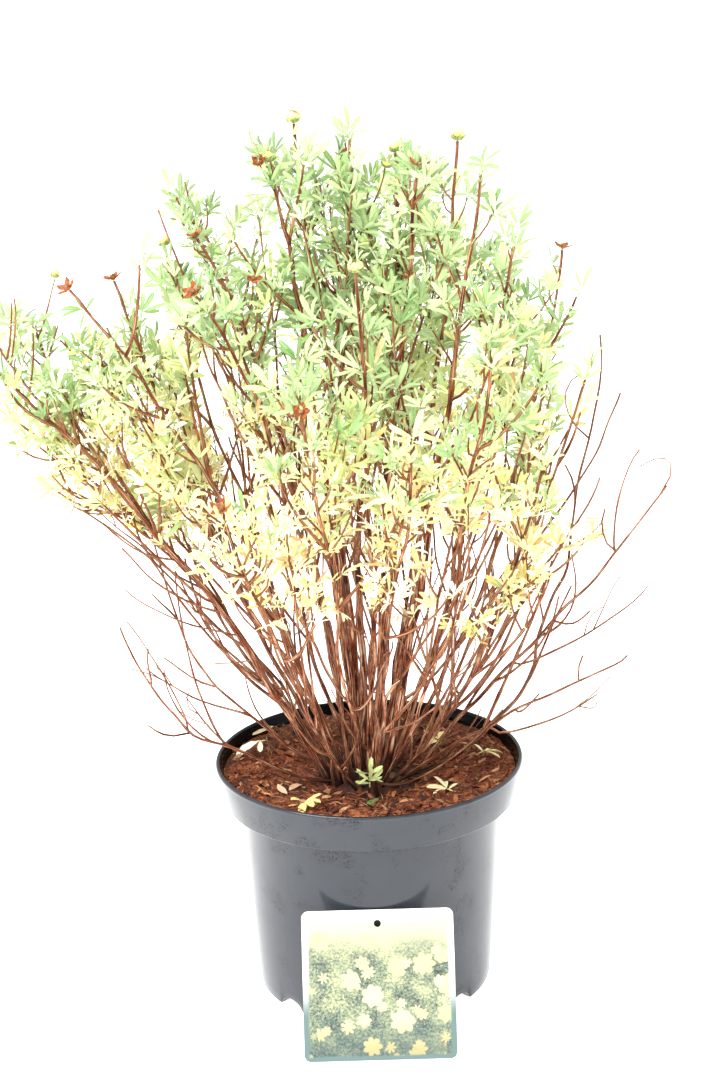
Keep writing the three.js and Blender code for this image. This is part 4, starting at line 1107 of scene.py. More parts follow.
def tufts(twig, first, spacing):
    """Leaves along a twig: at even steps stands a tuft of one to three, each on its own side, the next turned
    on by the golden angle, and the one at the end looks along the twig. At the left, leaves start at the
    lowest height + rise x the distance beyond the left start."""
    leaves = []
    count = max(1, round(twig["length"] * (1 - first) / spacing))
    turn = rng.uniform(0, 2 * math.pi)
    for step in range(count):
        share = 1 - (1 - first) * (step + rng.uniform(0, 0.5)) / count
        for _ in range(rng.choice([1, 2, 3], p=TUFT_ODDS)):
            turn += GOLDEN_ANGLE
            slant = rng.uniform(0.3, 0.6) if step == 0 else rng.uniform(0.6, 1.15)
            _, along, face = leaf_frame(twig["curve"], share, turn, slant)
            root = bent(twig, share)
            vigour = float(smoothstep(root[2], LOWEST_LEAF, FULL_LEAF))
            size = rng.uniform(0.7, 1.08) * (0.48 + 0.52 * vigour)
            roll = rng.normal(0, LEAF_ROLL)
            face = unit(face * math.cos(roll) + np.cross(along, face) * math.sin(roll))
            lowest = LOWEST_LEAF + LEFT_RISE * max(0.0, LEFT_START - root[0])
            reach = along * LEAF_REACH * size
            grown = rng.uniform() < 0.4 + vigour and root[2] > lowest
            kept = grown and fits(root + reach, -LEAF_OUTSIDE)
            if kept and in_leafage(root + reach / 2):
                leaves.append((root, along, face, size))
    return leaves


for stem in leafy:
    stem["tufts"] = tufts(stem["twig"], 0.5, 1.5 * TUFT_SPACING)
    for kind, (first, spacing) in LEAFY_PARTS.items():
        for twig in stem[kind]:
            stem["tufts"] += tufts(twig, first, spacing * TUFT_SPACING)
print("added", total(leafy, "tufts"), "leaves")

# %% [markdown]
# ## Tubes and bark
# A twig becomes a tube of rings a few millimetres apart. Its UV map holds the way round it and the real
# distance along it, and its tone holds its age and two numbers of its own, for the bark to use.

# %% Twigs as tubes
TWIG_SIDES, SPRIG_SIDES, THIN_SIDES = 8, 6, 5
RING_SPACING = 6 * MM


def tube(points, radii, sides, tone):
    """One closed tube, with the distance along it in metres in its UV map."""
    ends = [points[:1] - (points[1] - points[0]) * 0.05, points[-1:] + (points[-1] - points[-2]) * 0.05]
    path = np.concatenate([ends[0], points, ends[1]])
    radii = np.concatenate([[0], radii, [0]])
    chunk = swept(path[None], radii[None], radii[None], sides, tone=[tone])
    along = np.concatenate([[0], np.cumsum(np.linalg.norm(np.diff(path, axis=0), axis=1))])
    rows = np.concatenate([np.repeat(along[1:-1], sides), along[[0, -1]]])
    chunk["uv"] = np.stack([chunk["uv"][:, 0], rows], axis=-1)
    return chunk


def knobs(count, seed, depth):
    """Radii vary along a twig: slow noise, and a thicker ring here and there where a leaf has stood."""
    step = np.arange(count)
    return 1 + depth * noise(step * 0.8, np.full(count, seed * 1.7), 7) + 1.6 * depth * (step % 5 == seed % 5)


def bark_tone(twig, age):
    """A twig's age, and two numbers from 0 to 1 worked out from its seed."""
    return (age, float(lattice(twig["seed"], 3, 1)), float(lattice(twig["seed"], 5, 2)))


def whole_tube(twig, first, last, sides, age, depth=0.08):
    """A whole twig as a tube, its radius falling evenly from first to last, in millimetres."""
    rings = max(4, round(twig["length"] / RING_SPACING))
    radii = np.linspace(first, last, rings) * MM * knobs(rings, twig["seed"], depth)
    return tube(bent(twig, np.linspace(0, 1, rings)), radii, sides, bark_tone(twig, age))


print("the first stem's tube has", len(whole_tube(leafy[0]["twig"], 1, 1, TWIG_SIDES, 0)["points"]), "points")

# %% [markdown]
# Old stems shed their bark in red-brown fibres with a pale pinkish skin between them, and young twigs are
# smooth and tan. Both are one material, in which age chooses. The fibres are noise stretched along the twig,
# and its own two numbers shift the noise, so that no two twigs look the same.

# %% Bark


def bark_material():
    """A ramp over noise that is drawn out along the twig, old or young by age, and darkened near the soil
    as painted shade.
    """
    paint = Paint("bark", Roughness=0.8, **{"Specular IOR Level": 0.25})
    age, own, other, _ = paint.tone()
    place = paint.vector("ADD", paint.uv, paint.node("CombineXYZ", {"X": own, "Y": other}).outputs[0])
    fibre = paint.noise(1.0, 5.0, 0.68, paint.vector("MULTIPLY", place, (8, 48, 1)))
    patch = paint.noise(1.0, 2.0, at=paint.vector("MULTIPLY", place, (1.2, 45, 1)))
    old = paint.ramp(fibre, (0.41, 14, 5, 3), (0.47, 84, 32, 12), (0.54, 150, 72, 34), (0.63, 246, 212, 176))
    young = paint.ramp(fibre, (0.36, 52, 24, 14), (0.50, 126, 68, 34), (0.64, 220, 172, 120))
    pale = paint.mix(paint.smooth(patch, 0.5, 0.72), old, paint.mix(0.35, old, (206, 160, 126)))
    colour = paint.mix(age, paint.mix(paint.times(own, 0.3), pale, (78, 44, 28)), young)
    # painted shade: the wood darkens towards the soil, under the shrub and over the crown
    painted_base_shade = paint.smooth(paint.parts(paint.place)[2], 152 * MM, 134 * MM, 0.0, 0.75)
    return paint.finish(paint.mix(painted_base_shade, colour, (36, 18, 12)), fibre, 0.35 * MM, 0.7)


bark = bark_material()
print("nodes of the bark", len(bark.node_tree.nodes))

# %% [markdown]
# ## Crown, stems and dead wood
# The stems rise from a low woody dome, between the stubs of older ones. On the real shrub a few stems are
# thick and most are thin, and many dead twigs fill the space low down. Each leafy stem is one run of points,
# cut in two where the solid's wood ends, so that both pieces meet exactly.

# %% Crown and stems
STUBS = 16
THICK_STEM = 2.35 * MM
# Radius and height of the dome in millimetres
CROWN_PROFILE = [
    [0, 88.3], [15, 88.3], [27, 88.3], [27.6, 100], [27.6, 116], [27.4, 126], [25, 129], [22, 131],
    [18, 133.2], [14, 134.6], [10, 135.3], [6, 135.7], [3, 135.9], [0, 136],
]


def crown_grid():
    """The dome of the crown. Two layers of noise make knobs on its top, which is lowered to leave room."""
    grid = turned(np.array(CROWN_PROFILE) * MM, 64)
    x, y, z = grid["points"].T
    bump = noise(x / (5 * MM), y / (5 * MM), 11) + 0.5 * noise(x / (2 * MM), y / (2 * MM), 12)
    held = smoothstep(z, 122 * MM, 130 * MM)
    grid["points"] = np.stack([x, y, z + 1.3 * MM * bump * held - 1.5 * MM * held], axis=-1)
    grid["tone"][:, 0:3] = [0, 0.3, 0.4]
    return grid


def stubs():
    """Short dead ends between the stems: thick straight twigs cut off at a few centimetres."""
    rows = []
    for index in range(STUBS):
        angle, radius = rng.uniform(0, 2 * math.pi), rng.uniform(8, 26) * MM
        foot = np.array([radius * math.cos(angle), radius * math.sin(angle), 126 * MM])
        lean = np.array([math.cos(angle), math.sin(angle), 0]) * rng.uniform(0.1, 0.7) + [0, 0, 1]
        tip = foot + unit(lean) * rng.uniform(12, 30) * MM
        twig = new_twig((foot, (foot + tip) / 2 + rng.normal(0, 1.2, 3) * MM, tip), index)
        rows.append(whole_tube(twig, rng.uniform(1.2, 2.6), rng.uniform(0.9, 1.8), TWIG_SIDES, 0.0, 0.12))
    return rows


def split_stem(stem):
    """A leafy stem as two tubes that meet where the solid's wood ends. Only the thickest fill the solid's
    radius, and the others are thinner by a share of their own."""
    twig, number = stem["twig"], stem["number"]
    half = round(twig["length"] / RING_SPACING / 2)
    share = np.linspace(0, 1, 2 * half + 1)
    points = bent(twig, share)
    thick = 1.1 if stem["radius"] > THICK_STEM else 0.48 + 0.36 * float(lattice(number, 2, 6))
    radii = np.linspace(stem["radius"] * thick, STEM_TIP_RADIUS, len(share)) * knobs(len(share), number, 0.1)
    lower = tube(points[:half + 1], radii[:half + 1], TWIG_SIDES, bark_tone(twig, 0.0))
    return lower, tube(points[half:], radii[half:], TWIG_SIDES, bark_tone(twig, 0.3))


wood, upper_halves = map(list, zip(*map(split_stem, leafy)))
wood += stubs()
for stem in bare:
    first, last = 0.8 * stem["radius"] / MM, 0.7 * STEM_TIP_RADIUS / MM
    wood.append(whole_tube(stem["twig"], first, last, TWIG_SIDES, 0.1))
    for index, (shoot, share) in enumerate(stem["shoots"]):
        twig = new_twig(shoot, stem["number"] + 9 * index, stem["twig"], share, 0.8)
        wood.append(whole_tube(twig, 0.75, 0.5, THIN_SIDES, 0.2))
print("wood", piece("woody_stems", wood, bark, ["woody_framework"], sharp=80),
      "crown", piece("crown", [crown_grid()], bark, ["woody_framework"], sharp=80), "triangles")

# %% [markdown]
# Some dead twigs stand out against the white at the sides. Those are set down one by one. The rest grow from
# the outer stems by the rule for shoots, with stronger bends, because dead wood dries crooked.

# %% Dead twigs
DEAD_TWIGS, DEAD_STEMS, DEAD_LEAN, DEAD_MARGIN = 32, 20, math.radians(34), 4 * MM
# In millimetres: y, then x and z of start, middle and end, and the radius. One row adds its end's own y.
THIN_TWIGS = [
    (-30, 135, 285, 150, 310, 160, 340, 0.7), (-30, 170, 315, 185, 340, 160, 330, 0.5),
    (0, 115, 215, 140, 235, 125, 270, 0.8), (0, 95, 185, 110, 220, 125, 250, 0.9),
    (-20, 45, 230, 75, 245, 60, 290, 0.6), (-10, 40, 245, 60, 255, 60, 285, 0.6),
    (-30, -85, 245, -120, 260, -140, 290, 0.8), (-30, -110, 275, -130, 280, -150, 305, 0.7),
    (-30, -85, 165, -110, 215, -110, 275, 0.8), (-20, -45, 185, -90, 215, -105, 280, 1.1),
    (-30, -85, 170, -115, 180, -120, 215, 0.7), (-30, -105, 180, -120, 220, -140, 245, 0.6),
    (10, -55, 140, -75, 170, -75, 195, 0.7), (-20, -60, 215, -80, 215, -95, 215, 0.5),
    (-30, -85, 225, -120, 245, -140, 265, 0.6), (-20, 40, 175, 90, 215, 100, 280, 1.2),
    (-30, 30, 180, 50, 210, 70, 245, 1.0), (-30, 45, 205, 40, 230, 40, 285, 0.9),
    (10, 65, 175, 85, 205, 100, 225, 1.0), (-30, 60, 185, 90, 220, 110, 275, 1.2),
    (-20, 80, 190, 110, 215, 115, 250, 0.9), (10, -50, 180, -85, 220, -105, 280, 1.2),
    (-20, -55, 195, -100, 230, -125, 280, 1.0), (-30, -40, 200, -70, 245, -85, 295, 1.1),
    (20, -65, 180, -95, 210, -105, 240, 0.9), (-10, -35, 170, -60, 225, -75, 275, 1.1),
    (-40, 30, 135, 30, 195, 15, 215, 0.7), (-40, 15, 130, 40, 135, 80, 185, 0.8, -35),
    (-30, 25, 220, 30, 210, 45, 195, 0.6), (0, 120, 345, 115, 365, 130, 380, 0.6),
]


def listed_twigs():
    """The twigs of the table, whose starts are moved to the nearest point of a stem."""
    rows = []
    stem_points = np.concatenate([bent(stem["twig"], np.linspace(0.02, 0.98, 90)) for stem in leafy + bare])
    for index, (y, x0, z0, x1, z1, x2, z2, radius, *end_y) in enumerate(THIN_TWIGS):
        start, middle, end = np.array([(x0, y, z0), (x1, y, z1), (x2, (end_y or [y])[0], z2)]) * MM
        start = stem_points[np.argmin(np.linalg.norm(stem_points - start, axis=1))]
        twig = new_twig((start, middle, end), 700 + index, bend=0.8)
        rows.append(whole_tube(twig, radius, 0.6 * radius, THIN_SIDES, 0.2, 0.12))
    return rows


def grown_twigs():
    """Thin dead twigs low on the outer stems, with up to two side twigs each."""
    rows = []
    outer = sorted(leafy, key=lambda stem: stem["curve"][2][2])[:DEAD_STEMS] + bare
    for index in range(DEAD_TWIGS):
        parent, length = outer[index % len(outer)]["twig"], rng.uniform(50, 130) * MM
        for twig in added_shoots(parent, rng.uniform(0.05, 0.5), length, DEAD_LEAN, DEAD_MARGIN, 1.6):
            rows.append(whole_tube(twig, 0.8, 0.38, THIN_SIDES, 0.15, 0.12))
            for share in rng.uniform(0.35, 0.85, 2):
                sides = added_shoots(twig, share, rng.uniform(15, 45) * MM, DEAD_LEAN, DEAD_MARGIN, 1.2)
                rows += [whole_tube(side, 0.45, 0.28, THIN_SIDES, 0.3, 0.12) for side in sides]
    return rows


print("dead twigs", piece("dead_twigs", listed_twigs() + grown_twigs(), bark, sharp=80), "triangles")

# %% [markdown]
# ## Leaves
# A leaf of this shrub is a small hand: a petiole of a few millimetres, and five leaflets, each a folded
# spindle with a pale midrib. A leaflet is one swept body of three rings with four corners: its two rims, the
# midrib above and the underside, so that it is closed and yet has only sixteen faces. The shrub yellows from
# below and from inside: each leaf has an age, worked out from its place, in its tone.

# %% Leaf surface
LEAFLET_ANGLES = np.radians([-90, -45, 0, 45, 90])
LEAFLET_LENGTHS = np.array([10, 13, 14.5, 13, 10]) * MM
LEAFLET_SHARES = np.array([0, 0.26, 0.60, 0.88, 1.0])
LEAFLET_FORM = np.array([0, 0.66, 1.0, 0.78, 0])
LEAFLET_HALF_WIDTH, LEAF_THICKNESS, PETIOLE_RADIUS = 1.6 * MM, 0.16 * MM, 0.42 * MM
LEAF_RISE, LEAF_DROOP = 0.35, 22.0
REGION = 38 * MM


def leaf_age(roots):
    """0 is green, 1 is yellow: it rises with the depth below the top and falls towards the outside."""
    x, y, z = roots.T
    height = 1 - smoothstep(z + 0.2 * x, 240 * MM, 430 * MM)
    outside = smoothstep(np.hypot(x, y), 90 * MM, 190 * MM) + smoothstep(z, 400 * MM, 470 * MM)
    region = noise((x + 0.5 * y) / REGION, (z + 0.3 * y) / REGION, 21)
    return np.clip(height - 0.25 * outside + 0.36 * region + rng.normal(0, 0.24, len(roots)), 0, 1)


def leaves_grid(rows, age=None, form=LEAFLET_FORM):
    """All leaves of a piece in one array. A leaflet leaves the hub at its angle in the leaf's plane and lies
    at rise x r - droop x r² over it."""
    roots, along, face = (np.array([row[part] for row in rows]) for part in range(3))
    size = np.array([row[3] for row in rows])[:, None]
    count = len(rows)
    across = np.cross(face, along)
    hub = roots + along * PETIOLE * size
    age = leaf_age(roots) if age is None else np.full(count, age)
    angle = LEAFLET_ANGLES * rng.uniform(0.6, 1.0, (count, 1)) + rng.normal(0, 0.17, (count, 5))
    length = LEAFLET_LENGTHS * size * rng.uniform(0.85, 1.1, (count, 5))
    way = np.cos(angle)[..., None] * along[:, None] + np.sin(angle)[..., None] * across[:, None]
    distance = length[..., None] * LEAFLET_SHARES
    rise = LEAF_RISE + rng.normal(0, 0.25, (count, 1, 1)) + rng.normal(0, 0.18, (count, 5, 1))
    height = rise * distance - LEAF_DROOP * rng.normal(1, 0.6, (count, 5, 1)) * distance**2
    start = hub[:, None] - along[:, None] * (np.abs(angle) > 1.2)[..., None] * 1.6 * MM
    paths = start[:, :, None] + way[:, :, None] * distance[..., None]
    paths = paths + face[:, None, None] * height[..., None]
    tilt = unit(face[:, None] + rng.normal(0, 0.22, (count, 5, 3)))
    width = LEAFLET_HALF_WIDTH * (length / LEAFLET_LENGTHS[2]) ** 0.8 * rng.uniform(0.75, 1.15, (count, 5))
    tone = np.stack([np.repeat(age, 5) + rng.normal(0, 0.05, count * 5),
                     np.repeat(rng.uniform(0, 1, count), 5), rng.uniform(0, 1, count * 5)], axis=-1)
    fold = rng.uniform(0.15, 0.5, count * 5)
    blades = swept(paths.reshape(-1, len(form), 3), width.reshape(-1, 1) * form,
                   LEAF_THICKNESS * np.sign(form), 4, tilt.reshape(-1, 3), fold, np.clip(tone, 0, 1))
    stalks = roots[:, None] + (hub - roots)[:, None] * np.linspace(0, 1, 4)[:, None]
    stalk_tone = np.clip(tone[::5] * [1, 0, 0] + [0.15, 0, 0], 0, 1)
    return joined([blades, swept(stalks, PETIOLE_RADIUS, PETIOLE_RADIUS, 3, tone=stalk_tone)])


print("a leaf has", len(leaves_grid(leafy[0]["leaves"][:1])["quads"]), "four-sided faces")

# %% [markdown]
# Hairs make the leaf silky, so that it has a little sheen. Green and yellow differ from leaf to leaf, and a
# few leaflets are tan. Veins and midrib could be modelled, but at this size a bump and a paler line do.

# %% Leaf finish


def leaf_material():
    """Green and yellow are chosen by the age in tone. The midrib and the side veins follow the UV map, which
    holds the share across and along each leaflet, and the underside, in tone's alpha, is greyer."""
    paint = Paint("leaf", Roughness=0.55, **{"Sheen Weight": 0.25})
    age, leaf, leaflet, under = paint.tone()
    across, along, _ = paint.parts(paint.uv)
    aside = paint.math("ABSOLUTE", paint.times(across, 2.0, -1.0))
    older = paint.times(aside, 0.08, paint.times(paint.noise(260.0), 0.5, paint.math("ADD", age, -0.25)))
    green = paint.mix(leaf, (96, 148, 52), (218, 234, 168))
    green = paint.mix(paint.times(leaflet, 0.3), green, (190, 216, 170))
    yellow = paint.mix(leaf, (232, 212, 118), (252, 248, 216))
    yellow = paint.mix(paint.smooth(leaflet, 0.86, 0.97), yellow, (206, 152, 84))
    colour = paint.mix(paint.smooth(older, 0.25, 0.5), green, (222, 230, 144))
    colour = paint.mix(paint.smooth(older, 0.5, 0.72), colour, yellow)
    vein_wave = paint.math("SINE", paint.times(along, 34.0, paint.times(aside, -9.0)))
    veins, midrib = paint.smooth(vein_wave, 0.75, 1.0), paint.smooth(aside, 0.16, 0.02)
    lines = paint.math("MAXIMUM", paint.times(veins, 0.22), paint.times(midrib, 0.5))
    colour = paint.mix(lines, colour, (226, 230, 182))
    colour = paint.mix(paint.times(under, 0.3), colour, (196, 208, 172))
    return paint.finish(colour, lines, 0.12 * MM, 0.5)


leaf_finish = leaf_material()
print("nodes of the leaf", len(leaf_finish.node_tree.nodes))

# %% [markdown]
# Each leafy stem becomes two pieces: its wood with all shoots, and its leaves. Side shoots and forks are
# thicker than the added shoots. The leaves of low stems are mostly yellow.

# %% Dress the leafy stems
GREEN_FROM = 400 * MM
# For the shoots of the solid model, the forks and the added shoots: radii, sides, age and depth of knobs
SHOOT_FORMS = {"side": (1.0, 0.6, SPRIG_SIDES, 0.6), "forks": (0.95, 0.55, SPRIG_SIDES, 0.3),
               "added": (0.7, 0.42, THIN_SIDES, 0.75, 0.1)}

dressed = 0
for stem, upper in zip(leafy, upper_halves):
    twigs = [upper] + [whole_tube(twig, *form) for kind, form in SHOOT_FORMS.items() for twig in stem[kind]]
    leaves = leaves_grid(stem["leaves"] + stem["tufts"])
    slot = "green_leaf" if stem["curve"][2][2] > GREEN_FROM else "yellow_leaf"
    dressed += piece(stem["name"] + "_twigs", twigs, bark, [stem["name"]], sharp=80)
    dressed += piece(stem["name"] + "_leaves", [leaves], leaf_finish, [stem["name"]], sharp=70)
print("leafy stems", dressed, "triangles")

# %% [markdown]
# ## Flowers and seed heads
# The last buds of autumn are half open: five petals in a cup, a star of five pointed sepals under them and
# five narrow bractlets between those. After the bloom the sepals dry and turn rust-brown, and a bristly
# button of seeds stays between them. All parts are swept bodies whose path leaves the middle of the head.

# %% Parts of a head
FLOWER_RADIUS, FLOWER_HEIGHT, FLOWER_BASE = 5 * MM, 7 * MM, 0.4 * MM
SEPAL_LENGTH, SEPAL_RISE, SEED_HEAD_BASE = 6.4 * MM, 1.8 * MM, 0.8 * MM
BUTTON_RADIUS = 1.9 * MM
HEAD_GAP = 0.3 * MM
BRISTLES = 14
# Radius and height in millimetres
CUP_PROFILE = [[0, -0.4], [0.9, 0], [1.5, 0.5], [0.9, 1.6], [0, 1.9]]
BUTTON_PROFILE = [[0, -0.8], [0.8, -0.5], [1.4, 0.1], [1.9, 0.9], [1.805, 1.7], [1.178, 2.5], [0, 2.9]]


def star(turn, radius, height, width, thickness, tone, cup=0.3):
    """Five parts of a head round its axis. Each path has the given radii and heights, and faces the axis."""
    angle = turn + 2 * np.pi * np.arange(5) / 5 + rng.normal(0, 0.05, 5)
    share = np.linspace(0, 1, 7)
    radius, height, width = (np.interp(share, np.linspace(0, 1, len(row)), row)
                             for row in (radius, height, width))
    out = np.stack([np.cos(angle), np.sin(angle), 0 * angle], axis=-1)
    lift = rng.normal(1, 0.08, (5, 1))
    paths = out[:, None] * radius[:, None] + np.array([0, 0, 1]) * (height * lift)[..., None]
    chord = paths[:, -1] - paths[:, 0]
    flat = np.cross(chord, np.cross(np.array([0, 0, 1.0]), out))
    tones = np.column_stack([np.full(5, tone), rng.uniform(0, 1, (5, 2))])
    return swept(paths, width[None] * MM, thickness * MM * np.sign(width)[None], 6, unit(flat), cup, tones)


def flower_parts(openness):
    """Petals, sepals, bractlets and the cup they stand on. An openness of 1 is the solid's half-open cup."""
    reach = FLOWER_RADIUS * (0.6 + 0.25 * openness)
    petal_height = FLOWER_HEIGHT * np.array([0.06, 0.18, 0.48, 0.78, 0.98])
    petal_radius = reach * np.array([0.10, 0.66, 0.96, 0.80, 0.30])
    petal_width = reach / MM * np.array([0, 0.5, 0.80, 0.72, 0])
    radius = FLOWER_RADIUS * np.array([0.1, 0.5, 0.8, 1.0])
    height = FLOWER_HEIGHT * np.array([0.0, 0.05, 0.22, 0.5])
    cup = turned(np.array(CUP_PROFILE) * MM, 12)
    cup["tone"][:, 0] = 0.6
    return [star(math.pi / 5, petal_radius, petal_height, petal_width, 0.14, 0.0, 0.35),
            star(0, radius, height, [0, 1.3, 1.0, 0], 0.15, 0.6),
            star(math.pi / 5, radius * 0.9, height * 0.7, [0, 0.7, 0.6, 0], 0.15, 0.6), cup]


def seed_head_parts(openness):
    """A star of curled brown sepals round a button with short bristles."""
    radius = SEPAL_LENGTH * np.array([0.12, 0.35, 0.65, 0.88, 1.0]) * openness
    height = SEPAL_RISE * np.array([0.0, 0.3, 0.7, 1.3, 2.1])
    button = turned(np.array(BUTTON_PROFILE) * MM, 14)
    x, y, z = button["points"].T
    button["points"] *= (1 + 0.12 * noise(x / (0.6 * MM), y / (0.6 * MM) + z / (0.5 * MM), 5))[:, None]
    button["tone"][:, 0] = 0.8
    spot = unit(rng.normal(0, 1, (BRISTLES, 3)) * [1, 1, 0.6] + [0, 0, 0.8])
    share = np.linspace(0.6, 1.45, 4)[:, None]
    paths = np.array([0, 0, 1.1 * MM]) + spot[:, None] * share * BUTTON_RADIUS
    bristles = swept(paths, 0.09 * MM, 0.09 * MM, 3, tone=np.tile([0.9, 0.5, 0.5], (BRISTLES, 1)))
    return [star(0, radius, height, [0, 1.5, 1.9, 1.2, 0], 0.16, 1.0, 0.4),
            star(math.pi / 5, radius * 0.72, height * 0.5, [0, 0.6, 0.7, 0.5, 0], 0.15, 0.9),
            button, bristles]


print("rows in the profiles of cup and button:", len(CUP_PROFILE), len(BUTTON_PROFILE))

# %% [markdown]
# One tree of nodes serves for both kinds of head. The tone says which part a point belongs to, and it chooses
# the colour: a pale-yellow petal that is deeper at its foot, a green sepal, a brown button or a dry sepal.

# %% Head finish


def head_material(name, roughness):
    """Tone runs from a petal (0) over a green sepal (0.6) to a button (0.8) and a dry sepal (1)."""
    paint = Paint(name, Roughness=roughness)
    part, own = paint.tone()[:2]
    along = paint.parts(paint.uv)[1]
    mottle = paint.noise(900.0, 4.0)
    colour = paint.mix(along, (216, 214, 96), (250, 244, 176))
    green = paint.mix(own, (128, 156, 84), (168, 176, 104))
    button = paint.ramp(mottle, (0.35, 84, 50, 30), (0.6, 168, 112, 66), (0.75, 206, 160, 108))
    dry = paint.ramp(mottle, (0.3, 112, 48, 16), (0.5, 182, 92, 38), (0.72, 226, 152, 92))
    dry = paint.mix(paint.times(along, 0.5), dry, (96, 50, 28))
    for least, shown in ((0.3, green), (0.7, button), (0.95, dry)):
        colour = paint.mix(paint.math("GREATER_THAN", part, least), colour, shown)
    return paint.finish(colour, mottle, 0.2 * MM, 0.5)


# For each kind: its parts, how far it is sunk, its finish, its slot, its piece and the solid it stands for
HEADS = {
    "flower": (flower_parts, FLOWER_BASE, head_material("petals", 0.55), "petal", "blossom", "flower"),
    "seed": (seed_head_parts, SEED_HEAD_BASE, head_material("dry_sepals", 0.8), "seed_head", "dry_star",
             "seed_head"),
}
print("kinds of heads:", *HEADS)

# %% [markdown]
# The heads of the solid model are dressed where they are. Some more stand on the highest added shoots, in a
# shuffled order: first dry stars, then buds that are hardly open. They lean to the front, where they show.

# %% Heads on their twigs
HIGH_TIP = 385 * MM
ADDED_HEADS, ADDED_STARS = 26, 17


def placed(parts, end, way, sunk, size=1.0):
    """The parts turned from Z to a way by the shortest arc, and moved to a gap beyond the end of a twig."""
    turn = np.array(Vector((0, 0, 1)).rotation_difference(Vector(way)).to_matrix())
    place = end + way * (HEAD_GAP + sunk * size)
    return [{**part, "points": part["points"] @ turn.T * size + place} for part in map(outward, parts)]


counts = {"flower": 0, "seed": 0}
for stem in leafy:
    if stem["head"] in HEADS:
        counts[stem["head"]] += 1
        number = counts[stem["head"]]
        parts, sunk, finish, slot, name, solid = HEADS[stem["head"]]
        head = placed(parts(1.0), stem["curve"][2], direction(stem["curve"], 1.0), sunk)
        piece(f"{name}_{number}", head, finish, [f"{solid}_{number}"])

tips = [twig["curve"] for stem in leafy for twig in stem["added"] if twig["curve"][2][2] > HIGH_TIP]
stars, buds = [], []
for index, chosen in enumerate(rng.permutation(len(tips))[:ADDED_HEADS]):
    end, way = tips[chosen][2], direction(tips[chosen], 1.0)
    if fits(end + way * 9 * MM, 2 * MM):
        way = unit(way + rng.normal(0, 0.5, 3) + [0, -0.8, 0])
        if index < ADDED_STARS:
            parts = seed_head_parts(rng.uniform(0.6, 1.0))
            stars += placed(parts, end, way, SEED_HEAD_BASE, rng.uniform(0.8, 1.05))
        else:
            parts = flower_parts(rng.uniform(0.0, 0.5))
            buds += placed(parts, end, way, FLOWER_BASE, rng.uniform(0.65, 0.9))
print("heads", counts, "added seed heads", piece("added_stars", stars, HEADS["seed"][2]),
      "added buds", piece("added_buds", buds, HEADS["flower"][2]), "triangles")

# %% [markdown]
# ## Leaves at the foot
# Five pale leaves lie on the soil, and a young one stands up at the front of the crown. All are of the same
# kind as above: the fallen ones are wider, and the young one is two leaves on one stalk.

# %% Fallen and basal leaves
FALLEN_AGE, FALLEN_WIDTH = 0.93, 1.5
# x and y in millimetres, and the turn in degrees
FALLEN_LEAVES = [(-64, 22, 200), (46, 20, 100), (67, -5, 40), (50, -38, 130), (-42, -52, 300)]
BASAL_STALK = np.array([[-0.7, -25.5, 130.4], [-0.7, -34, 137], [0, -43, 143]]) * MM
BASAL_SIZE, BASAL_STEP = 0.85, 2.5 * MM


def fallen_leaf(x, y, turn):
    """A leaf face up on the soil, lifted until all its points are clear of the crumbs."""
    way = np.array([math.cos(math.radians(turn)), math.sin(math.radians(turn)), 0])
    leaf = (np.array([x, y, 0]) * MM, way, np.array([0, 0, 1.0]), 1.0)
    grid = leaves_grid([leaf], FALLEN_AGE, FALLEN_WIDTH * LEAFLET_FORM)
    px, py, pz = grid["points"].T
    grid["points"][:, 2] += np.max(soil_height(px, py) + 0.35 * crumbs(px, py) - pz) + HEAD_GAP
    return grid


for index, row in enumerate(FALLEN_LEAVES, 1):
    solid = f"fallen_leaf_{index}"
    piece(f"dry_leaf_{index}", [fallen_leaf(*row)], leaf_finish, [solid], sharp=70)
way, face = unit(np.array([0, -0.1, 1])), unit(np.array([0, -1, 0.3]))
face = unit(face - way * face.dot(way))
basal = [leaves_grid([(BASAL_STALK[2] + step * way, way, face, BASAL_SIZE)], age)
         for step, age in ((BASAL_STEP, 0.3), (-BASAL_STEP, 0.38))]
piece("young_leaf", [joined(basal)], leaf_finish, ["basal_leaf"], sharp=70)
stalk = whole_tube(new_twig(tuple(BASAL_STALK), 5, bend=0.2), 0.6, 0.45, SPRIG_SIDES, 1.0)
print("stalk", piece("young_leaf_stalk", [stalk], bark, ["basal_leaf"]), "triangles")
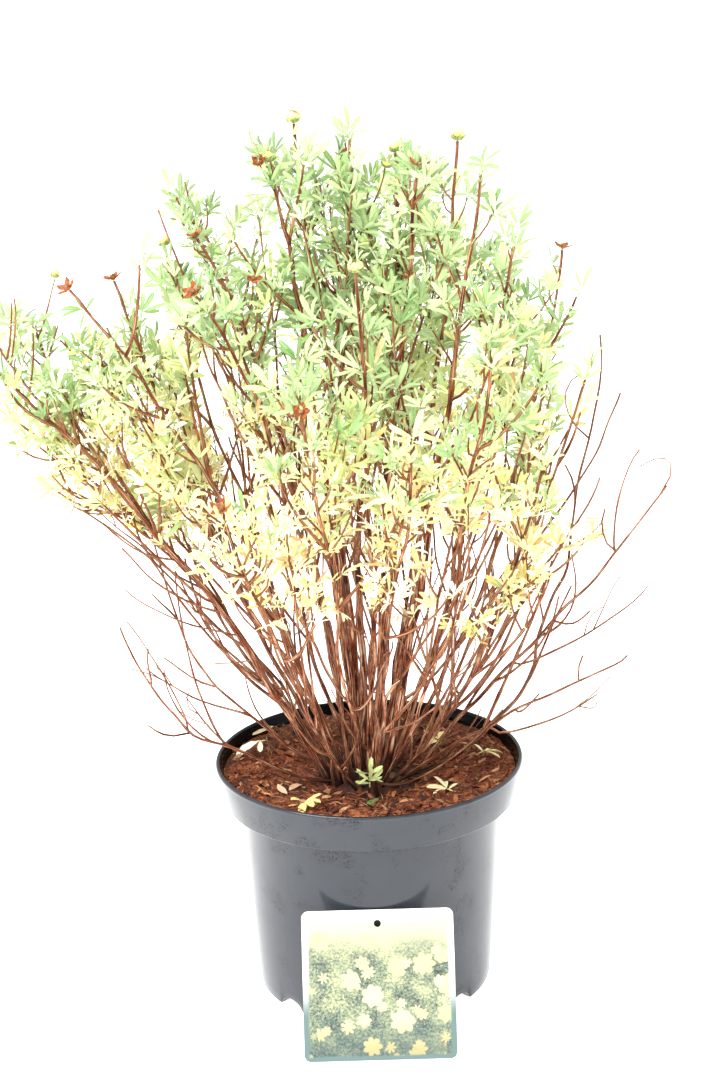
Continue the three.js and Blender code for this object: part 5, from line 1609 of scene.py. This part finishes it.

# %% [markdown]
# Beside the leaves lie single dry leaflets and torn strips of bark. They are swept bodies on the soil, like
# the chips, but broader, and each is set down where the real soil shows one.

# %% Litter
LITTER_FORM = np.array([0, 0.45, 0.8, 0.97, 1.0, 0.9, 0.7, 0.4, 0])
# x, y, angle, length, half width, lift and tone of each piece, in millimetres and degrees
LITTER = [
    (-53, -27, 115, 15, 2.1, 2.2, 0.98), (-45, -22, 60, 16, 2.2, 2.6, 0.94), (-75, 62, 20, 26, 2.8, 2.4, 1.0),
    (2, -39, 60, 14, 2.5, 1.4, 0.0), (15, -27, 82, 13, 1.3, 1.5, 0.80), (38, -20, 170, 15, 1.5, 1.4, 0.82),
    (-80, 20, 70, 9, 1.3, 0.9, 1.0), (22, -44, 20, 11, 1.2, 1.0, 0.86), (60, 34, 130, 12, 1.5, 1.2, 0.9),
    (-22, -2, 125, 19, 0.9, 2.4, 0.3), (70, -28, 30, 10, 1.2, 1.0, 0.88), (-62, -40, 150, 12, 1.4, 1.0, 0.84),
]


def litter_grid():
    """Broad curved leaflets on the soil: half width x form across, bowed by a twentieth of their length."""
    x, y, angle, length, width, lift, tone = np.array(LITTER).T
    paths = lying(x * MM, y * MM, np.radians(angle), length * MM, lift[:, None] * MM, length * 0.05 * MM,
                  len(LITTER_FORM))
    flat = unit(rng.normal(0, 0.25, (len(x), 3)) + [0, 0, 1])
    return swept(paths, width[:, None] * MM * LITTER_FORM, 0.2 * MM * np.sign(LITTER_FORM), 6, flat, 0.3,
                 np.column_stack([tone, tone, tone]))


def litter_material():
    """Green at tone 0, orange-brown at 0.8 and pale tan at 1."""
    paint = Paint("litter", Roughness=0.7)
    grain = paint.noise(500.0, 4.0)
    colour = paint.ramp(paint.tone()[0], (0.0, 96, 150, 78), (0.25, 120, 84, 50), (0.78, 206, 128, 62),
                        (0.90, 214, 160, 116), (1.0, 232, 206, 176))
    return paint.finish(paint.mix(paint.times(grain, 0.4), colour, (120, 78, 52)), grain, 0.2 * MM, 0.5)


print("litter", piece("litter", [litter_grid()], litter_material()), "triangles")

# %% [markdown]
# ## Size
# The dressed shrub has to fill the same box as the solid one.
